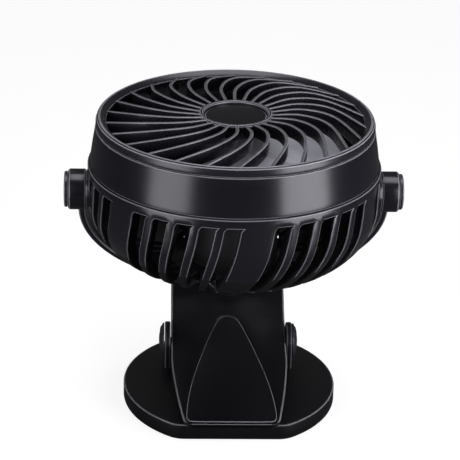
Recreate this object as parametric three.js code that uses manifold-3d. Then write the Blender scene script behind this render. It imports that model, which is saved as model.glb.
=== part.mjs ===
// Clip fan: a round fan head that tilts in a slanted U-shaped yoke, which swivels on a spring clip
// with a round base. Millimetres, +Z up, the clip's mouth towards -Y, the fan facing up.
import * as THREE from "three";
import { mergeVertices } from "three/addons/utils/BufferGeometryUtils.js";
import Module from "manifold-3d";

const wasm = await Module();
wasm.setup();

// ---------------------------------------------------------------- shared sizes
const DEG = Math.PI / 180;
const fitGap = 0.3; // between two pieces that seat on each other
const runGap = 0.2; // round a shaft that turns
const fineEdge = 0.3; // edge breaks of the mouldings
const softEdge = 0.6;
const weldDistance = 1e-4;
const cutOver = 1; // how far a cutting solid runs past the face it cuts
const fineSides = 44;
const roundSides = 20;
const smallSides = 8;

// fan head, heights measured from the tilt axis
const tiltAxisHeight = 106;
const domeRadius = 66.4;
const domeWall = 2;
const domeWallHeight = -2; // where the straight wall turns into the dome
const domeFloorHeight = -34;
const domeFlatRadius = 26;
const domeSteps = 5;
const rearSeamStep = 0.9; // how far the band's foot stands in from the dome
const rearSeamRadius = domeRadius - rearSeamStep;
const rearSeamHeight = 14.2;
const bandTaper = 2.7;
const bandWall = 2;
const bandBulge = 0.6;
const bandSkirtDepth = 3.6;
const bandSkirtWall = 1.6;
const frontSeamRadius = rearSeamRadius - bandTaper;
const frontSeamHeight = 32;
const rimStep = 0.8; // how far the rim's crest stands in from the band
const rimCollarHeight = 2.4;
const rimWidth = 4;
const rimLipDrop = 2.1;
const grilleRadius = frontSeamRadius - rimStep;
const grilleCrest = 36.7;
const grilleLipRadius = grilleRadius - rimWidth;
const grilleLipHeight = grilleCrest - rimLipDrop;
const grilleSkirtDepth = 6;
const grilleSkirtWall = 1.6;
const hubRise = 1.3; // the hub ring's crest above the rim's
const hubRingRadius = 16.8;
const hubRingCrest = grilleCrest + hubRise;
const hubRingWall = 2.4;
const hubRingDepth = 6.6;
const hubRingEdge = 0.8;
const hubLedge = 3;
const capDrop = 1.4;
const capThickness = 2.6;
const capCrown = 0.5;
const capCrownShare = 0.5;
const ribCount = 26;
const ribDepth = 6;
const ribThickness = 1.4;
const ribSteps = 4;
const ribShares = [0, 0.324, 0.64, 1]; // a rib's four knots, from the hub ring out to the rim
const ribTurns = [0.4, -2.7, -14.1, -30]; // degrees round the axis
const ribRootDrop = 0.1; // the first three knots' heights against the hub ring's crest
const ribCrownRise = 1.3;
const ribShoulderRise = 0.8;
const ribFootDrop = 1.3; // the last knot's, against the rim's crest
const ribFootInset = 2;
const slotPositions = 38;
const blankPositions = [1, 7, 13, 20, 27, 33];
const slotFirstTurn = -1.5 * DEG;
const slotWidthAngle = 6.1 * DEG;
const slotTopHeight = 10.2;
const slotTopTaper = 1.4 * DEG;
const slotTopTaperHeight = 1.3;
const slotEndStep = 3; // from the dome's flat to the slots' lower ends
const slotSwirl = 18 * DEG;
const slotSwirlPower = 1.5;
const trunnionRadius = 9;
const trunnionDepth = 8;
const motorPocketRadius = 18.8;
const motorPocketWall = 1.8;
const motorPocketTop = -6.2;
const motorPocketCeiling = 2;
const motorRadius = 16;
const motorHeight = 18;
const motorCrimp = 1.2;
const motorEndRadius = 6;
const motorEndHeight = 2.4;
const motorScrewSpacing = 16;
const motorScrewRadius = 1.1;
const motorScrewHeadRadius = 2.2;
const motorScrewHeadHeight = 1.1;
const motorScrewEdge = 0.3;
const shaftRadius = 1.5;
const shaftHoleRadius = 4.5;
const hubCoverRadius = 21.6;
const hubCoverFlange = 1.1;
const hubCoverPlug = 3.2;

// impeller, heights measured from the tilt axis
const bladeCount = 4;
const bladeTipGap = 2.9; // to the grille's skirt
const bladeTipRadius = frontSeamRadius - bandWall - fitGap - grilleSkirtWall - bladeTipGap;
const bladeRootAngle = 44 * DEG;
const bladeTipAngle = 54 * DEG;
const bladeSweep = 14 * DEG;
const bladeThickness = 1.5;
const bladeCamber = 1.6;
const bladeTipShrink = 0.25;
const bladeStations = 5;
const bladeAcross = 4;
const bladeLow = 7.5;
const bladeRise = 15;
const bladeTipWashout = 5;
const impellerHubRadius = 15;
const impellerHubTop = 24;
const impellerHubBottom = 5;
const impellerHubWall = 1.8;
const impellerShoulderDrop = 3.4;
const impellerShoulderIn = 1.4;
const impellerCrownDrop = 1.1;
const impellerCrownIn = 5;
const impellerBoreWall = 3;
const impellerSeatDepth = 10;

// yoke, depths measured from the tilt axis along its slanted centre line
const yokeSlant = 36 * DEG;
const yokeClearance = 1; // to the dome
const yokeThickness = 3.3;
const yokeOuterRadius = domeRadius + yokeClearance + yokeThickness;
const yokeArcDrop = 6.5;
const yokeWidth = 15;
const yokeEdge = 0.7;
const yokeArcSteps = 14;
const knobRadius = 9.3;
const knobStand = 4.6; // beyond the strap
const knobReach = yokeOuterRadius + knobStand;
const knobChamfer = 0.8;
const knobBoreRadius = 5.2;
const knobBoreDepth = 3.9;
const knobBoreFloor = knobReach - knobBoreDepth;
const pivotCapRadius = 8.2;
const pivotCapStand = 1.7; // beyond the knob
const pivotCapReach = knobReach + pivotCapStand;
const pivotCapPlugRadius = 4.8;
const pivotCapPlugDepth = 0.9;
const pivotCapGroove = 0.35;
const pivotCapGrooveIn = 2;
const pivotCapGrooveHalf = 0.4;
const pivotCapEdge = 0.4;
const pivotScrewRadius = 2;
const pivotScrewHeadRadius = 4.4;
const pivotScrewHeadHeight = 2.2;
const pivotScrewGrip = 6;
const swivelDiscRadius = 12;
const swivelDiscDepth = 3.7;
const swivelScrewRadius = 2;
const swivelScrewHeadRadius = 4;
const swivelScrewHeadHeight = 1.8;
const swivelScrewGrip = 4.6;
const swivelWasherRadius = 6;
const swivelWasherThickness = 0.7;

// base disc
const baseRadius = 50.1;
const baseTopHeight = 7.9;
const baseRimHeight = 0.4;
const baseEdge = 0.7;
const baseWall = 2.2;
const baseSkin = 1.4;
const baseFrontCut = 6.7; // what the two flats take off the round
const baseRearCut = 1.7;
const baseFrontFlat = baseRadius - baseFrontCut;
const baseRearFlat = baseRadius - baseRearCut;
const baseCornerRadius = 6;
const baseArcSteps = 8;
const bottomCoverHeight = 0.9;
const bottomCoverThickness = 1.1;
const footPadInset = 5;
const footPadRecess = 0.3;
const baseScrewInset = 10.6;
const baseScrewRing = baseRadius - baseScrewInset;
const baseScrewCount = 4;
const baseScrewFirstAngle = 35 * DEG;
const baseScrewRadius = 1.2;
const baseScrewHeadRadius = 2.2;
const baseBossRadius = 3.2;
const batteryGap = 1.15; // to the screw bosses
const batteryHalfWidth = baseScrewRing * Math.cos(baseScrewFirstAngle) - baseBossRadius - batteryGap;
const batteryLengthStep = 8.1; // shorter than the disc's radius
const batterySize = new THREE.Vector3(2 * batteryHalfWidth, baseRadius - batteryLengthStep, 3.6);
const boardSize = new THREE.Vector3(24, 12, 0.8);
const switchSize = new THREE.Vector3(4.5, 3, 3);
const chipSize = new THREE.Vector3(4, 4, 1.4);
const socketSize = new THREE.Vector3(8.9, 7, 2.8);
const socketWall = 0.4;
const socketTongue = 0.7;
const socketX = -6;
const buttonX = 6.5;
const buttonSize = new THREE.Vector2(7, 2.8);
const buttonStand = 0.8;
const buttonFlange = 0.7;
const buttonTravel = 0.6;
const buttonStem = 2.2;
const buttonStemIn = 0.25; // the share of the stem that stands in the flange
const buttonEdge = 0.3;

// clip lever and hinge
const hingeY = 20;
const hingeRoofGap = 0.463; // from the spring's coil to the lever's roof
const earRadius = 9;
const earThickness = 2.7;
const pinRadius = 1.5;
const hingeCapRadius = 6.8;
const hingeCapThickness = 1.1;
const hingeCapChamfer = 0.6;
const hingeDimpleRadius = 3.4;
const leverTipReach = 2.6; // beyond the disc's front flat
const leverTipY = -(baseFrontFlat + leverTipReach);
const leverTipHeight = 10.1;
const leverFrontSlope = 10 * DEG;
const leverSlopeShare = 0.9; // of the slope from the tip to the seat, where that is the flatter
const leverBendLength = 18.1; // from where the front slope starts to bend up to its corner
const leverBottomHeight = 8.5;
const leverBottomBend = 1; // how far before the hinge its underside turns up
const leverTipHalfWidth = 21.8;
const leverHalfWidth = 27.6;
const leverFlareY = 2;
const leverFlarePower = 1.5;
const leverTipCorner = 3.5;
const leverRearCorner = 7;
const leverRearMargin = 1;
const leverRearThickness = 10;
const leverEdge = 0.8;
const leverSkin = 1.8;
const leverWall = 2;
const leverExtraStations = [-32, -12];
const cornerStations = [0, 0.1, 0.35, 1];
const leverFloor = 1.6;
const leverBendSteps = 6;
const panelHalfWidth = 20.6;
const panelFrontStep = 1.7;
const panelFrontY = leverTipY + panelFrontStep;
const panelApexY = 29;
const panelThickness = 0.8;
const panelSidePower = 1.7;
const panelArchPower = 1.97;
const panelSteps = 14;
const upperPadStep = 5;
const upperPadFront = leverTipY + upperPadStep;
const upperPadLength = 18;
const leverHollowFrontY = upperPadFront + upperPadLength;
const upperPadHalfWidth = 17;
const upperPadThickness = 0.7;
const upperPadStand = 0.2;
const lowerPadStep = 2.4;
const lowerPadFront = lowerPadStep - baseFrontFlat;
const lowerPadLength = 20;
const lowerPadHalfWidth = 18;
const lowerPadThickness = 0.9;
const lowerPadStand = 0.15;
const springCoilRadius = 2.15;
const springWireRadius = 0.4;
const springTurns = 4;
const springPitch = 1.25;
const springUpperLegLength = 13;
const springLowerLegFall = 36.6 * DEG;
const springRoofGap = 0.9;
const springLegChecks = 6;
const springCoilSteps = 34;
const legSlotReach = 16;
const springWireSides = 6;
const earSteps = 8;
const barSteps = 3;

// ---------------------------------------------------------------- finishes
const finishes = {
  shell: { color: 0x1b1a1f, roughness: 0.34, metalness: 0 },
  grille: { color: 0x1d1c21, roughness: 0.3, metalness: 0 },
  clip: { color: 0x121115, roughness: 0.38, metalness: 0 },
  impeller: { color: 0x2a2a30, roughness: 0.3, metalness: 0 },
  rubber: { color: 0x101012, roughness: 0.85, metalness: 0 },
  steel: { color: 0xb4b6ba, roughness: 0.3, metalness: 1 },
  board: { color: 0x14492c, roughness: 0.5, metalness: 0 },
  cell: { color: 0x8f959c, roughness: 0.35, metalness: 0.3 },
};

// ---------------------------------------------------------------- solids and meshes
function signedVolume(points, triangles) {
  let total = 0;
  const [a, b, c] = [new THREE.Vector3(), new THREE.Vector3(), new THREE.Vector3()];
  for (let i = 0; i < triangles.length; i += 3) {
    a.fromArray(points, triangles[i] * 3);
    b.fromArray(points, triangles[i + 1] * 3);
    c.fromArray(points, triangles[i + 2] * 3);
    total += a.dot(b.cross(c));
  }
  return total / 6;
}

// A closed geometry as a solid, turned to face outwards.
function solidOf(geometry) {
  const bare = geometry.clone();
  bare.deleteAttribute("normal");
  bare.deleteAttribute("uv");
  const welded = mergeVertices(bare, weldDistance);
  const points = new Float32Array(welded.attributes.position.array);
  const corners = new Uint32Array(welded.index.array).filter((corner, i, all) => {
    const first = i - (i % 3);
    const [a, b, c] = [all[first], all[first + 1], all[first + 2]];
    return a !== b && b !== c && c !== a;
  });
  if (signedVolume(points, corners) < 0) corners.reverse();
  return new wasm.Manifold(new wasm.Mesh({ numProp: 3, vertProperties: points, triVerts: corners }));
}

function geometryOf(solid) {
  const mesh = solid.getMesh();
  const geometry = new THREE.BufferGeometry();
  geometry.setAttribute("position", new THREE.BufferAttribute(new Float32Array(mesh.vertProperties), 3));
  geometry.setIndex(new THREE.BufferAttribute(new Uint32Array(mesh.triVerts), 1));
  const faceted = geometry.toNonIndexed();
  faceted.computeVertexNormals();
  return faceted;
}

function joined(solids) {
  return solids.reduce((total, solid) => total.add(solid));
}

function addPiece(group, name, finish, solid) {
  const material = new THREE.MeshStandardMaterial(finishes[finish]);
  const mesh = new THREE.Mesh(geometryOf(solid), material);
  mesh.name = name;
  group.add(mesh);
}

// A closed [radius, height] outline turned round the Z axis.
function turned(outline, sides) {
  const points = outline.map(([radius, height]) => new THREE.Vector2(radius, height));
  points.push(points[0].clone());
  return solidOf(new THREE.LatheGeometry(points, sides).rotateX(Math.PI / 2));
}

function cylinder(radius, low, high, sides) {
  return turned([[0, low], [radius, low], [radius, high], [0, high]], sides);
}

function tube(inner, outer, low, high, sides) {
  return turned([[inner, low], [outer, low], [outer, high], [inner, high]], sides);
}

// Turns a solid made along Z so that it points along X, to the right (+1) or the left (-1).
function alongX(solid, side) {
  return solid.rotate([0, side * 90, 0]);
}

function box(size, centre) {
  const geometry = new THREE.BoxGeometry(size.x, size.y, size.z);
  return solidOf(geometry.translate(centre.x, centre.y, centre.z));
}

function plate(shape, low, high, curveSegments) {
  const depth = high - low;
  const geometry = new THREE.ExtrudeGeometry(shape, { depth, bevelEnabled: false, curveSegments });
  return solidOf(geometry.translate(0, 0, low));
}

// A solid through a row of loops that all have the same number of points.
function lofted(loops) {
  const count = loops[0].length;
  const positions = loops.flat().flatMap((point) => [point.x, point.y, point.z]);
  const triangles = [];
  for (let row = 0; row + 1 < loops.length; row++) {
    for (let i = 0; i < count; i++) {
      const [a, b] = [row * count + i, row * count + ((i + 1) % count)];
      triangles.push(a, b, b + count, a, b + count, a + count);
    }
  }
  const last = (loops.length - 1) * count;
  for (let i = 1; i + 1 < count; i++) {
    triangles.push(0, i + 1, i, last, last + i, last + i + 1);
  }
  const geometry = new THREE.BufferGeometry();
  geometry.setAttribute("position", new THREE.Float32BufferAttribute(positions, 3));
  geometry.setIndex(triangles);
  return solidOf(geometry);
}

// ---------------------------------------------------------------- front grille
const atAngle = (radius, turn, height) =>
  new THREE.Vector3(radius * Math.sin(turn), -radius * Math.cos(turn), height);

// One blade-like rib: it leaves the hub ring, leans round the axis and arches down to the rim.
function grilleRib(startTurn) {
  const root = hubRingRadius - hubRingWall / 2;
  const foot = grilleRadius - ribFootInset;
  const heights = [
    hubRingCrest - ribRootDrop,
    hubRingCrest + ribCrownRise,
    hubRingCrest + ribShoulderRise,
    grilleCrest - ribFootDrop,
  ];
  const path = new THREE.CatmullRomCurve3(heights.map((height, i) =>
    atAngle(THREE.MathUtils.lerp(root, foot, ribShares[i]), startTurn + ribTurns[i] * DEG, height)));
  const loops = path.getPoints(ribSteps).map((point, i) => {
    const side = path.getTangent(i / ribSteps).setZ(0).normalize().multiplyScalar(ribThickness / 2);
    side.set(-side.y, side.x, 0);
    const down = new THREE.Vector3(0, 0, -ribDepth);
    return [
      point.clone().sub(side),
      point.clone().add(side),
      point.clone().add(side).add(down),
      point.clone().sub(side).add(down),
    ];
  });
  return lofted(loops);
}

function frontGrille() {
  const skirtOuter = frontSeamRadius - bandWall - fitGap;
  const skirtLow = frontSeamHeight - grilleSkirtDepth;
  const rim = turned([
    [skirtOuter - grilleSkirtWall, skirtLow],
    [skirtOuter, skirtLow],
    [skirtOuter, frontSeamHeight + fitGap],
    [frontSeamRadius, frontSeamHeight + fitGap],
    [frontSeamRadius, frontSeamHeight + rimCollarHeight],
    [grilleRadius + fineEdge, grilleCrest - softEdge],
    [grilleRadius - softEdge, grilleCrest],
    [grilleLipRadius, grilleLipHeight],
    [grilleLipRadius, frontSeamHeight],
  ], fineSides);
  const inner = hubRingRadius - hubRingWall;
  const low = hubRingCrest - hubRingDepth;
  const hubRing = turned([
    [inner - hubLedge, low],
    [hubRingRadius, low],
    [hubRingRadius, hubRingCrest - hubRingEdge],
    [hubRingRadius - hubRingEdge, hubRingCrest],
    [inner, hubRingCrest],
    [inner, hubRingCrest - capDrop - capThickness - fitGap],
    [inner - hubLedge, hubRingCrest - capDrop - capThickness - fitGap],
  ], roundSides);
  const ribs = Array.from({ length: ribCount }, (_, i) => grilleRib((i * 2 * Math.PI) / ribCount));
  return joined([rim, hubRing, ...ribs]);
}

function grilleCentreCap() {
  const radius = hubRingRadius - hubRingWall - fitGap;
  const top = hubRingCrest - capDrop;
  return turned([
    [0, top - capThickness],
    [radius, top - capThickness],
    [radius, top - softEdge],
    [radius - softEdge, top],
    [radius * capCrownShare, top + capCrown],
    [0, top + capCrown],
  ], roundSides);
}

// ---------------------------------------------------------------- housing band
function housingBand() {
  const skirtOuter = domeRadius - domeWall - fitGap;
  const middle = (frontSeamHeight + rearSeamHeight) / 2;
  const middleRadius = (frontSeamRadius + rearSeamRadius) / 2 + bandBulge;
  const foot = rearSeamHeight + fitGap;
  return turned([
    [frontSeamRadius - bandWall, frontSeamHeight],
    [frontSeamRadius - fineEdge, frontSeamHeight],
    [frontSeamRadius, frontSeamHeight - fineEdge],
    [middleRadius, middle],
    [rearSeamRadius, foot],
    [skirtOuter, foot],
    [skirtOuter, foot - bandSkirtDepth],
    [skirtOuter - bandSkirtWall, foot - bandSkirtDepth],
    [skirtOuter - bandSkirtWall, foot],
    [middleRadius - bandWall, middle],
  ], fineSides);
}

// ---------------------------------------------------------------- slotted rear shell
// The dome's outline from its open top edge down to its flat floor, as [radius, height, swirl].
function domeRows(inset) {
  const across = domeRadius - domeFlatRadius;
  const down = domeWallHeight - domeFloorHeight;
  const lastAngle = Math.acos(slotEndStep / across);
  const straight = [rearSeamHeight, slotTopHeight, slotTopHeight - slotTopTaperHeight, domeWallHeight];
  const rows = straight.map((height) => [domeRadius - inset, height]);
  for (let i = 1; i <= domeSteps; i++) {
    const angle = (lastAngle * i) / domeSteps;
    const radius = domeFlatRadius + (across - inset) * Math.cos(angle);
    rows.push([radius, domeWallHeight - (down - inset) * Math.sin(angle)]);
  }
  rows.push([domeFlatRadius, domeFloorHeight + inset]);
  const slotRow = 1;
  const lastSlotRow = rows.length - 2;
  return rows.map(([radius, height], row) => {
    const share = THREE.MathUtils.clamp((row - slotRow) / (lastSlotRow - slotRow), 0, 1);
    return { radius, height, swirl: -slotSwirl * share ** slotSwirlPower, taper: row === slotRow };
  });
}

function isOpenPosition(position) {
  const turn = slotFirstTurn + (position * 2 * Math.PI) / slotPositions;
  const fromTrunnion = Math.abs(Math.asin(THREE.MathUtils.clamp(Math.cos(turn), -1, 1)));
  const trunnionAngle = trunnionRadius / domeRadius + slotWidthAngle / 2;
  return !blankPositions.includes(position) && fromTrunnion > trunnionAngle;
}

// Two skins, outer and inner, with the slots left out of both and a wall round each slot.
function slottedDome() {
  const skins = [domeRows(0), domeRows(domeWall)];
  const rowCount = skins[0].length;
  const columns = slotPositions * 2;
  const positions = [];
  for (const rows of skins) {
    for (const { radius, height, swirl, taper } of rows) {
      for (let column = 0; column < columns; column++) {
        const side = column % 2 === 0 ? -1 : 1;
        const middle = slotFirstTurn + (Math.floor(column / 2) * 2 * Math.PI) / slotPositions;
        const half = slotWidthAngle / 2 - (taper ? slotTopTaper : 0);
        const point = atAngle(radius, middle + side * half + swirl, height);
        positions.push(point.x, point.y, point.z);
      }
    }
  }
  const isOpen = (row, column) => {
    const inSlotRows = row >= 1 && row < rowCount - 2;
    return inSlotRows && column % 2 === 0 && isOpenPosition((column % columns) / 2);
  };
  const triangles = [];
  // Each corner of a quad is [skin, row, column].
  const quad = (...corners) => {
    const [a, b, c, d] = corners.map(([skin, row, column]) =>
      (skin * rowCount + row) * columns + (column % columns));
    triangles.push(a, b, c, a, c, d);
  };
  for (let column = 0; column < columns; column++) {
    const next = column + 1;
    for (let row = 0; row + 1 < rowCount; row++) {
      const below = row + 1;
      if (isOpen(row, column)) {
        quad([0, row, column], [0, below, column], [1, below, column], [1, row, column]);
        quad([1, row, next], [1, below, next], [0, below, next], [0, row, next]);
        if (!isOpen(row - 1, column)) {
          quad([0, row, column], [1, row, column], [1, row, next], [0, row, next]);
        }
        if (!isOpen(below, column)) {
          quad([0, below, next], [1, below, next], [1, below, column], [0, below, column]);
        }
      } else {
        quad([0, row, column], [0, below, column], [0, below, next], [0, row, next]);
        quad([1, row, column], [1, row, next], [1, below, next], [1, below, column]);
      }
    }
    const last = rowCount - 1;
    quad([0, 0, column], [0, 0, next], [1, 0, next], [1, 0, column]);
    quad([0, last, next], [0, last, column], [1, last, column], [1, last, next]);
  }
  const geometry = new THREE.BufferGeometry();
  geometry.setAttribute("position", new THREE.Float32BufferAttribute(positions, 3));
  geometry.setIndex(triangles);
  return solidOf(geometry);
}

function trunnionFace() {
  return yokeOuterRadius - yokeThickness - fitGap;
}

function rearShell() {
  const pocketOuter = motorPocketRadius + motorPocketWall;
  const floorTop = domeFloorHeight + domeWall;
  const pocket = turned([
    [motorPocketRadius, domeFloorHeight],
    [domeFlatRadius + softEdge, domeFloorHeight],
    [domeFlatRadius + softEdge, floorTop],
    [pocketOuter, floorTop],
    [pocketOuter, motorPocketTop],
    [shaftHoleRadius, motorPocketTop],
    [shaftHoleRadius, motorPocketTop - motorPocketCeiling],
    [motorPocketRadius, motorPocketTop - motorPocketCeiling],
  ], roundSides);
  let shell = slottedDome().add(pocket);
  for (const side of [1, -1]) {
    const face = trunnionFace();
    const boss = cylinder(trunnionRadius, face - trunnionDepth, face, roundSides);
    const boreEnd = face - pivotScrewGrip - fitGap;
    const bore = cylinder(pivotScrewRadius + runGap, boreEnd, face + cutOver, smallSides);
    shell = shell.add(alongX(boss, side)).subtract(alongX(bore, side));
    const screwHole = cylinder(
      motorScrewRadius + runGap,
      motorPocketTop - motorPocketCeiling - cutOver,
      motorPocketTop + cutOver,
      smallSides,
    );
    shell = shell.subtract(screwHole.translate([0, (side * motorScrewSpacing) / 2, 0]));
  }
  return shell;
}

function rearHubCover() {
  const under = domeFloorHeight - fitGap;
  const plug = motorPocketRadius - fitGap;
  return turned([
    [0, under - hubCoverFlange],
    [hubCoverRadius - softEdge, under - hubCoverFlange],
    [hubCoverRadius, under - hubCoverFlange + softEdge],
    [hubCoverRadius, under],
    [plug, under],
    [plug, under + hubCoverPlug],
    [plug - domeWall, under + hubCoverPlug],
    [plug - domeWall, under + softEdge],
    [0, under + softEdge],
  ], roundSides);
}

// ---------------------------------------------------------------- motor and impeller
function motorTop() {
  return motorPocketTop - motorPocketCeiling - fitGap;
}

function motorCan() {
  const top = motorTop();
  const low = top - motorHeight;
  const can = turned([
    [shaftRadius + runGap, low],
    [motorRadius - motorCrimp, low],
    [motorRadius, low + motorCrimp],
    [motorRadius, top - motorCrimp],
    [motorRadius - motorCrimp, top],
    [shaftRadius + runGap, top],
  ], roundSides);
  const tapped = [1, -1].map((side) => {
    const low = top - motorPocketCeiling - fitGap;
    const hole = cylinder(motorScrewRadius + runGap, low, top + cutOver, smallSides);
    return hole.translate([0, (side * motorScrewSpacing) / 2, 0]);
  });
  return can.subtract(joined(tapped));
}

function motorEndCap() {
  const top = motorTop() - motorHeight - fitGap;
  return cylinder(motorEndRadius, top - motorEndHeight, top, roundSides);
}

function motorShaft() {
  const top = impellerHubTop - impellerHubWall - fitGap;
  return cylinder(shaftRadius, motorTop() - motorHeight + fitGap, top, smallSides);
}

function motorScrew(side) {
  const under = motorPocketTop + fitGap;
  const low = motorTop() - motorPocketCeiling;
  const screw = turned([
    [0, low],
    [motorScrewRadius, low],
    [motorScrewRadius, under],
    [motorScrewHeadRadius, under],
    [motorScrewHeadRadius - motorScrewEdge, under + motorScrewHeadHeight],
    [0, under + motorScrewHeadHeight],
  ], smallSides);
  return screw.translate([0, (side * motorScrewSpacing) / 2, 0]);
}

// A twisted blade: a grid of points across its width and out to its tip, with two faces.
function impellerBlade(startTurn) {
  const loops = [];
  for (let i = 0; i <= bladeStations; i++) {
    const out = i / bladeStations;
    const radius = THREE.MathUtils.lerp(impellerHubRadius - impellerHubWall / 2, bladeTipRadius, out);
    const swell = Math.sqrt(Math.sin(out * Math.PI));
    const tipShare = 1 - bladeTipShrink * out ** 4;
    const width = THREE.MathUtils.lerp(bladeRootAngle, bladeTipAngle, swell) * tipShare;
    const rise = bladeRise - bladeTipWashout * out;
    const upper = [];
    const lower = [];
    for (let j = 0; j <= bladeAcross; j++) {
      const along = j / bladeAcross;
      const turn = startTurn + (along - 0.5) * width + bladeSweep * out;
      const camber = Math.sin(along * Math.PI) * bladeCamber;
      const height = bladeLow + (bladeTipWashout / 2) * out + rise * along + camber;
      upper.push(atAngle(radius, turn, height + bladeThickness / 2));
      lower.push(atAngle(radius, turn, height - bladeThickness / 2));
    }
    loops.push([...upper, ...lower.reverse()]);
  }
  return lofted(loops);
}

function impeller() {
  const wall = impellerHubRadius - impellerHubWall;
  const boss = shaftRadius + impellerBoreWall;
  const bore = shaftRadius + runGap / 4;
  const roof = impellerHubTop - impellerHubWall;
  const hub = turned([
    [0, roof],
    [bore, roof],
    [bore, roof - impellerSeatDepth],
    [boss, roof - impellerSeatDepth],
    [boss, roof],
    [wall, roof - impellerCrownDrop],
    [wall, impellerHubBottom],
    [impellerHubRadius, impellerHubBottom],
    [impellerHubRadius, impellerHubTop - impellerShoulderDrop],
    [impellerHubRadius - impellerShoulderIn, impellerHubTop - impellerCrownDrop],
    [impellerHubRadius - impellerCrownIn, impellerHubTop],
    [0, impellerHubTop],
  ], roundSides);
  const blades = Array.from({ length: bladeCount }, (_, i) =>
    impellerBlade(((i + 0.5) * 2 * Math.PI) / bladeCount));
  return joined([hub, ...blades]);
}

// ---------------------------------------------------------------- yoke, in its own slanted frame
function yokeStrapOutline(radius) {
  const shape = new THREE.Shape();
  shape.moveTo(radius, 0);
  shape.lineTo(radius, -yokeArcDrop);
  shape.absarc(0, -yokeArcDrop, radius, 0, -Math.PI, true);
  shape.lineTo(-radius, 0);
  return shape;
}

function yokeFootDepth() {
  return yokeArcDrop + yokeOuterRadius + swivelDiscDepth;
}

function yokeArm() {
  const outer = yokeStrapOutline(yokeOuterRadius - yokeEdge);
  const inner = yokeStrapOutline(yokeOuterRadius - yokeThickness);
  const wide = new THREE.ExtrudeGeometry(outer, {
    depth: yokeWidth - 2 * yokeEdge,
    bevelThickness: yokeEdge,
    bevelSize: yokeEdge,
    bevelSegments: 1,
    curveSegments: yokeArcSteps,
  }).translate(0, 0, yokeEdge - yokeWidth / 2);
  const hollow = new THREE.ExtrudeGeometry(inner, {
    depth: yokeWidth + 2 * cutOver,
    bevelEnabled: false,
    curveSegments: yokeArcSteps,
  }).translate(0, 0, -yokeWidth / 2 - cutOver);
  const headRoom = box(
    new THREE.Vector3((yokeOuterRadius - yokeThickness) * 2, yokeWidth * 2, yokeWidth),
    new THREE.Vector3(0, 0, yokeWidth / 2 - cutOver),
  );
  const uprightStrap = solidOf(wide).subtract(solidOf(hollow)).rotate([90, 0, 0]);
  let yoke = uprightStrap.subtract(headRoom);
  for (const side of [1, -1]) {
    const face = yokeOuterRadius - yokeThickness;
    const knob = turned([
      [0, face],
      [knobRadius, face],
      [knobRadius, knobReach - knobChamfer],
      [knobRadius - knobChamfer, knobReach],
      [0, knobReach],
    ], roundSides);
    const bore = cylinder(pivotScrewRadius + runGap, face - cutOver, knobReach + cutOver, smallSides);
    const counterBore = cylinder(knobBoreRadius, knobBoreFloor, knobReach + cutOver, roundSides);
    yoke = yoke.add(alongX(knob, side)).subtract(alongX(bore.add(counterBore), side));
  }
  const foot = yokeFootDepth();
  const discTop = foot - swivelDiscDepth - yokeThickness / 2;
  const disc = turned([
    [0, -foot],
    [swivelDiscRadius - softEdge, -foot],
    [swivelDiscRadius, -foot + softEdge],
    [swivelDiscRadius, -discTop],
    [0, -discTop],
  ], roundSides);
  const tappedTop = -foot + swivelScrewGrip + fitGap;
  const tapped = cylinder(swivelScrewRadius + runGap, -foot - cutOver, tappedTop, smallSides);
  return yoke.add(disc).subtract(tapped);
}

function pivotCap(side) {
  const inner = knobReach + fitGap;
  const groove = pivotCapRadius - pivotCapGrooveIn;
  const cap = turned([
    [0, inner - pivotCapPlugDepth],
    [pivotCapPlugRadius, inner - pivotCapPlugDepth],
    [pivotCapPlugRadius, inner],
    [pivotCapRadius, inner],
    [pivotCapRadius, pivotCapReach - pivotCapEdge],
    [pivotCapRadius - pivotCapEdge, pivotCapReach],
    [groove + pivotCapGrooveHalf, pivotCapReach],
    [groove, pivotCapReach - pivotCapGroove],
    [groove - pivotCapGrooveHalf, pivotCapReach],
    [0, pivotCapReach],
  ], roundSides);
  return alongX(cap, side);
}

function pivotScrew(side) {
  const seat = knobBoreFloor + fitGap;
  const screw = turned([
    [0, trunnionFace() - pivotScrewGrip],
    [pivotScrewRadius, trunnionFace() - pivotScrewGrip],
    [pivotScrewRadius, seat],
    [pivotScrewHeadRadius, seat],
    [pivotScrewHeadRadius - softEdge, seat + pivotScrewHeadHeight],
    [0, seat + pivotScrewHeadHeight],
  ], smallSides);
  return alongX(screw, side);
}

function swivelSeatDepth() {
  return yokeFootDepth() + fitGap;
}

function swivelWasher() {
  const top = -swivelSeatDepth() - leverSkin - fitGap;
  const bore = swivelScrewRadius + runGap;
  return tube(bore, swivelWasherRadius, top - swivelWasherThickness, top, smallSides);
}

function swivelScrew() {
  const under = -swivelSeatDepth() - leverSkin - 2 * fitGap - swivelWasherThickness;
  const top = -yokeFootDepth() + swivelScrewGrip;
  return turned([
    [0, under - swivelScrewHeadHeight],
    [swivelScrewHeadRadius - softEdge, under - swivelScrewHeadHeight],
    [swivelScrewHeadRadius, under],
    [swivelScrewRadius, under],
    [swivelScrewRadius, top],
    [0, top],
  ], smallSides);
}

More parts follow.
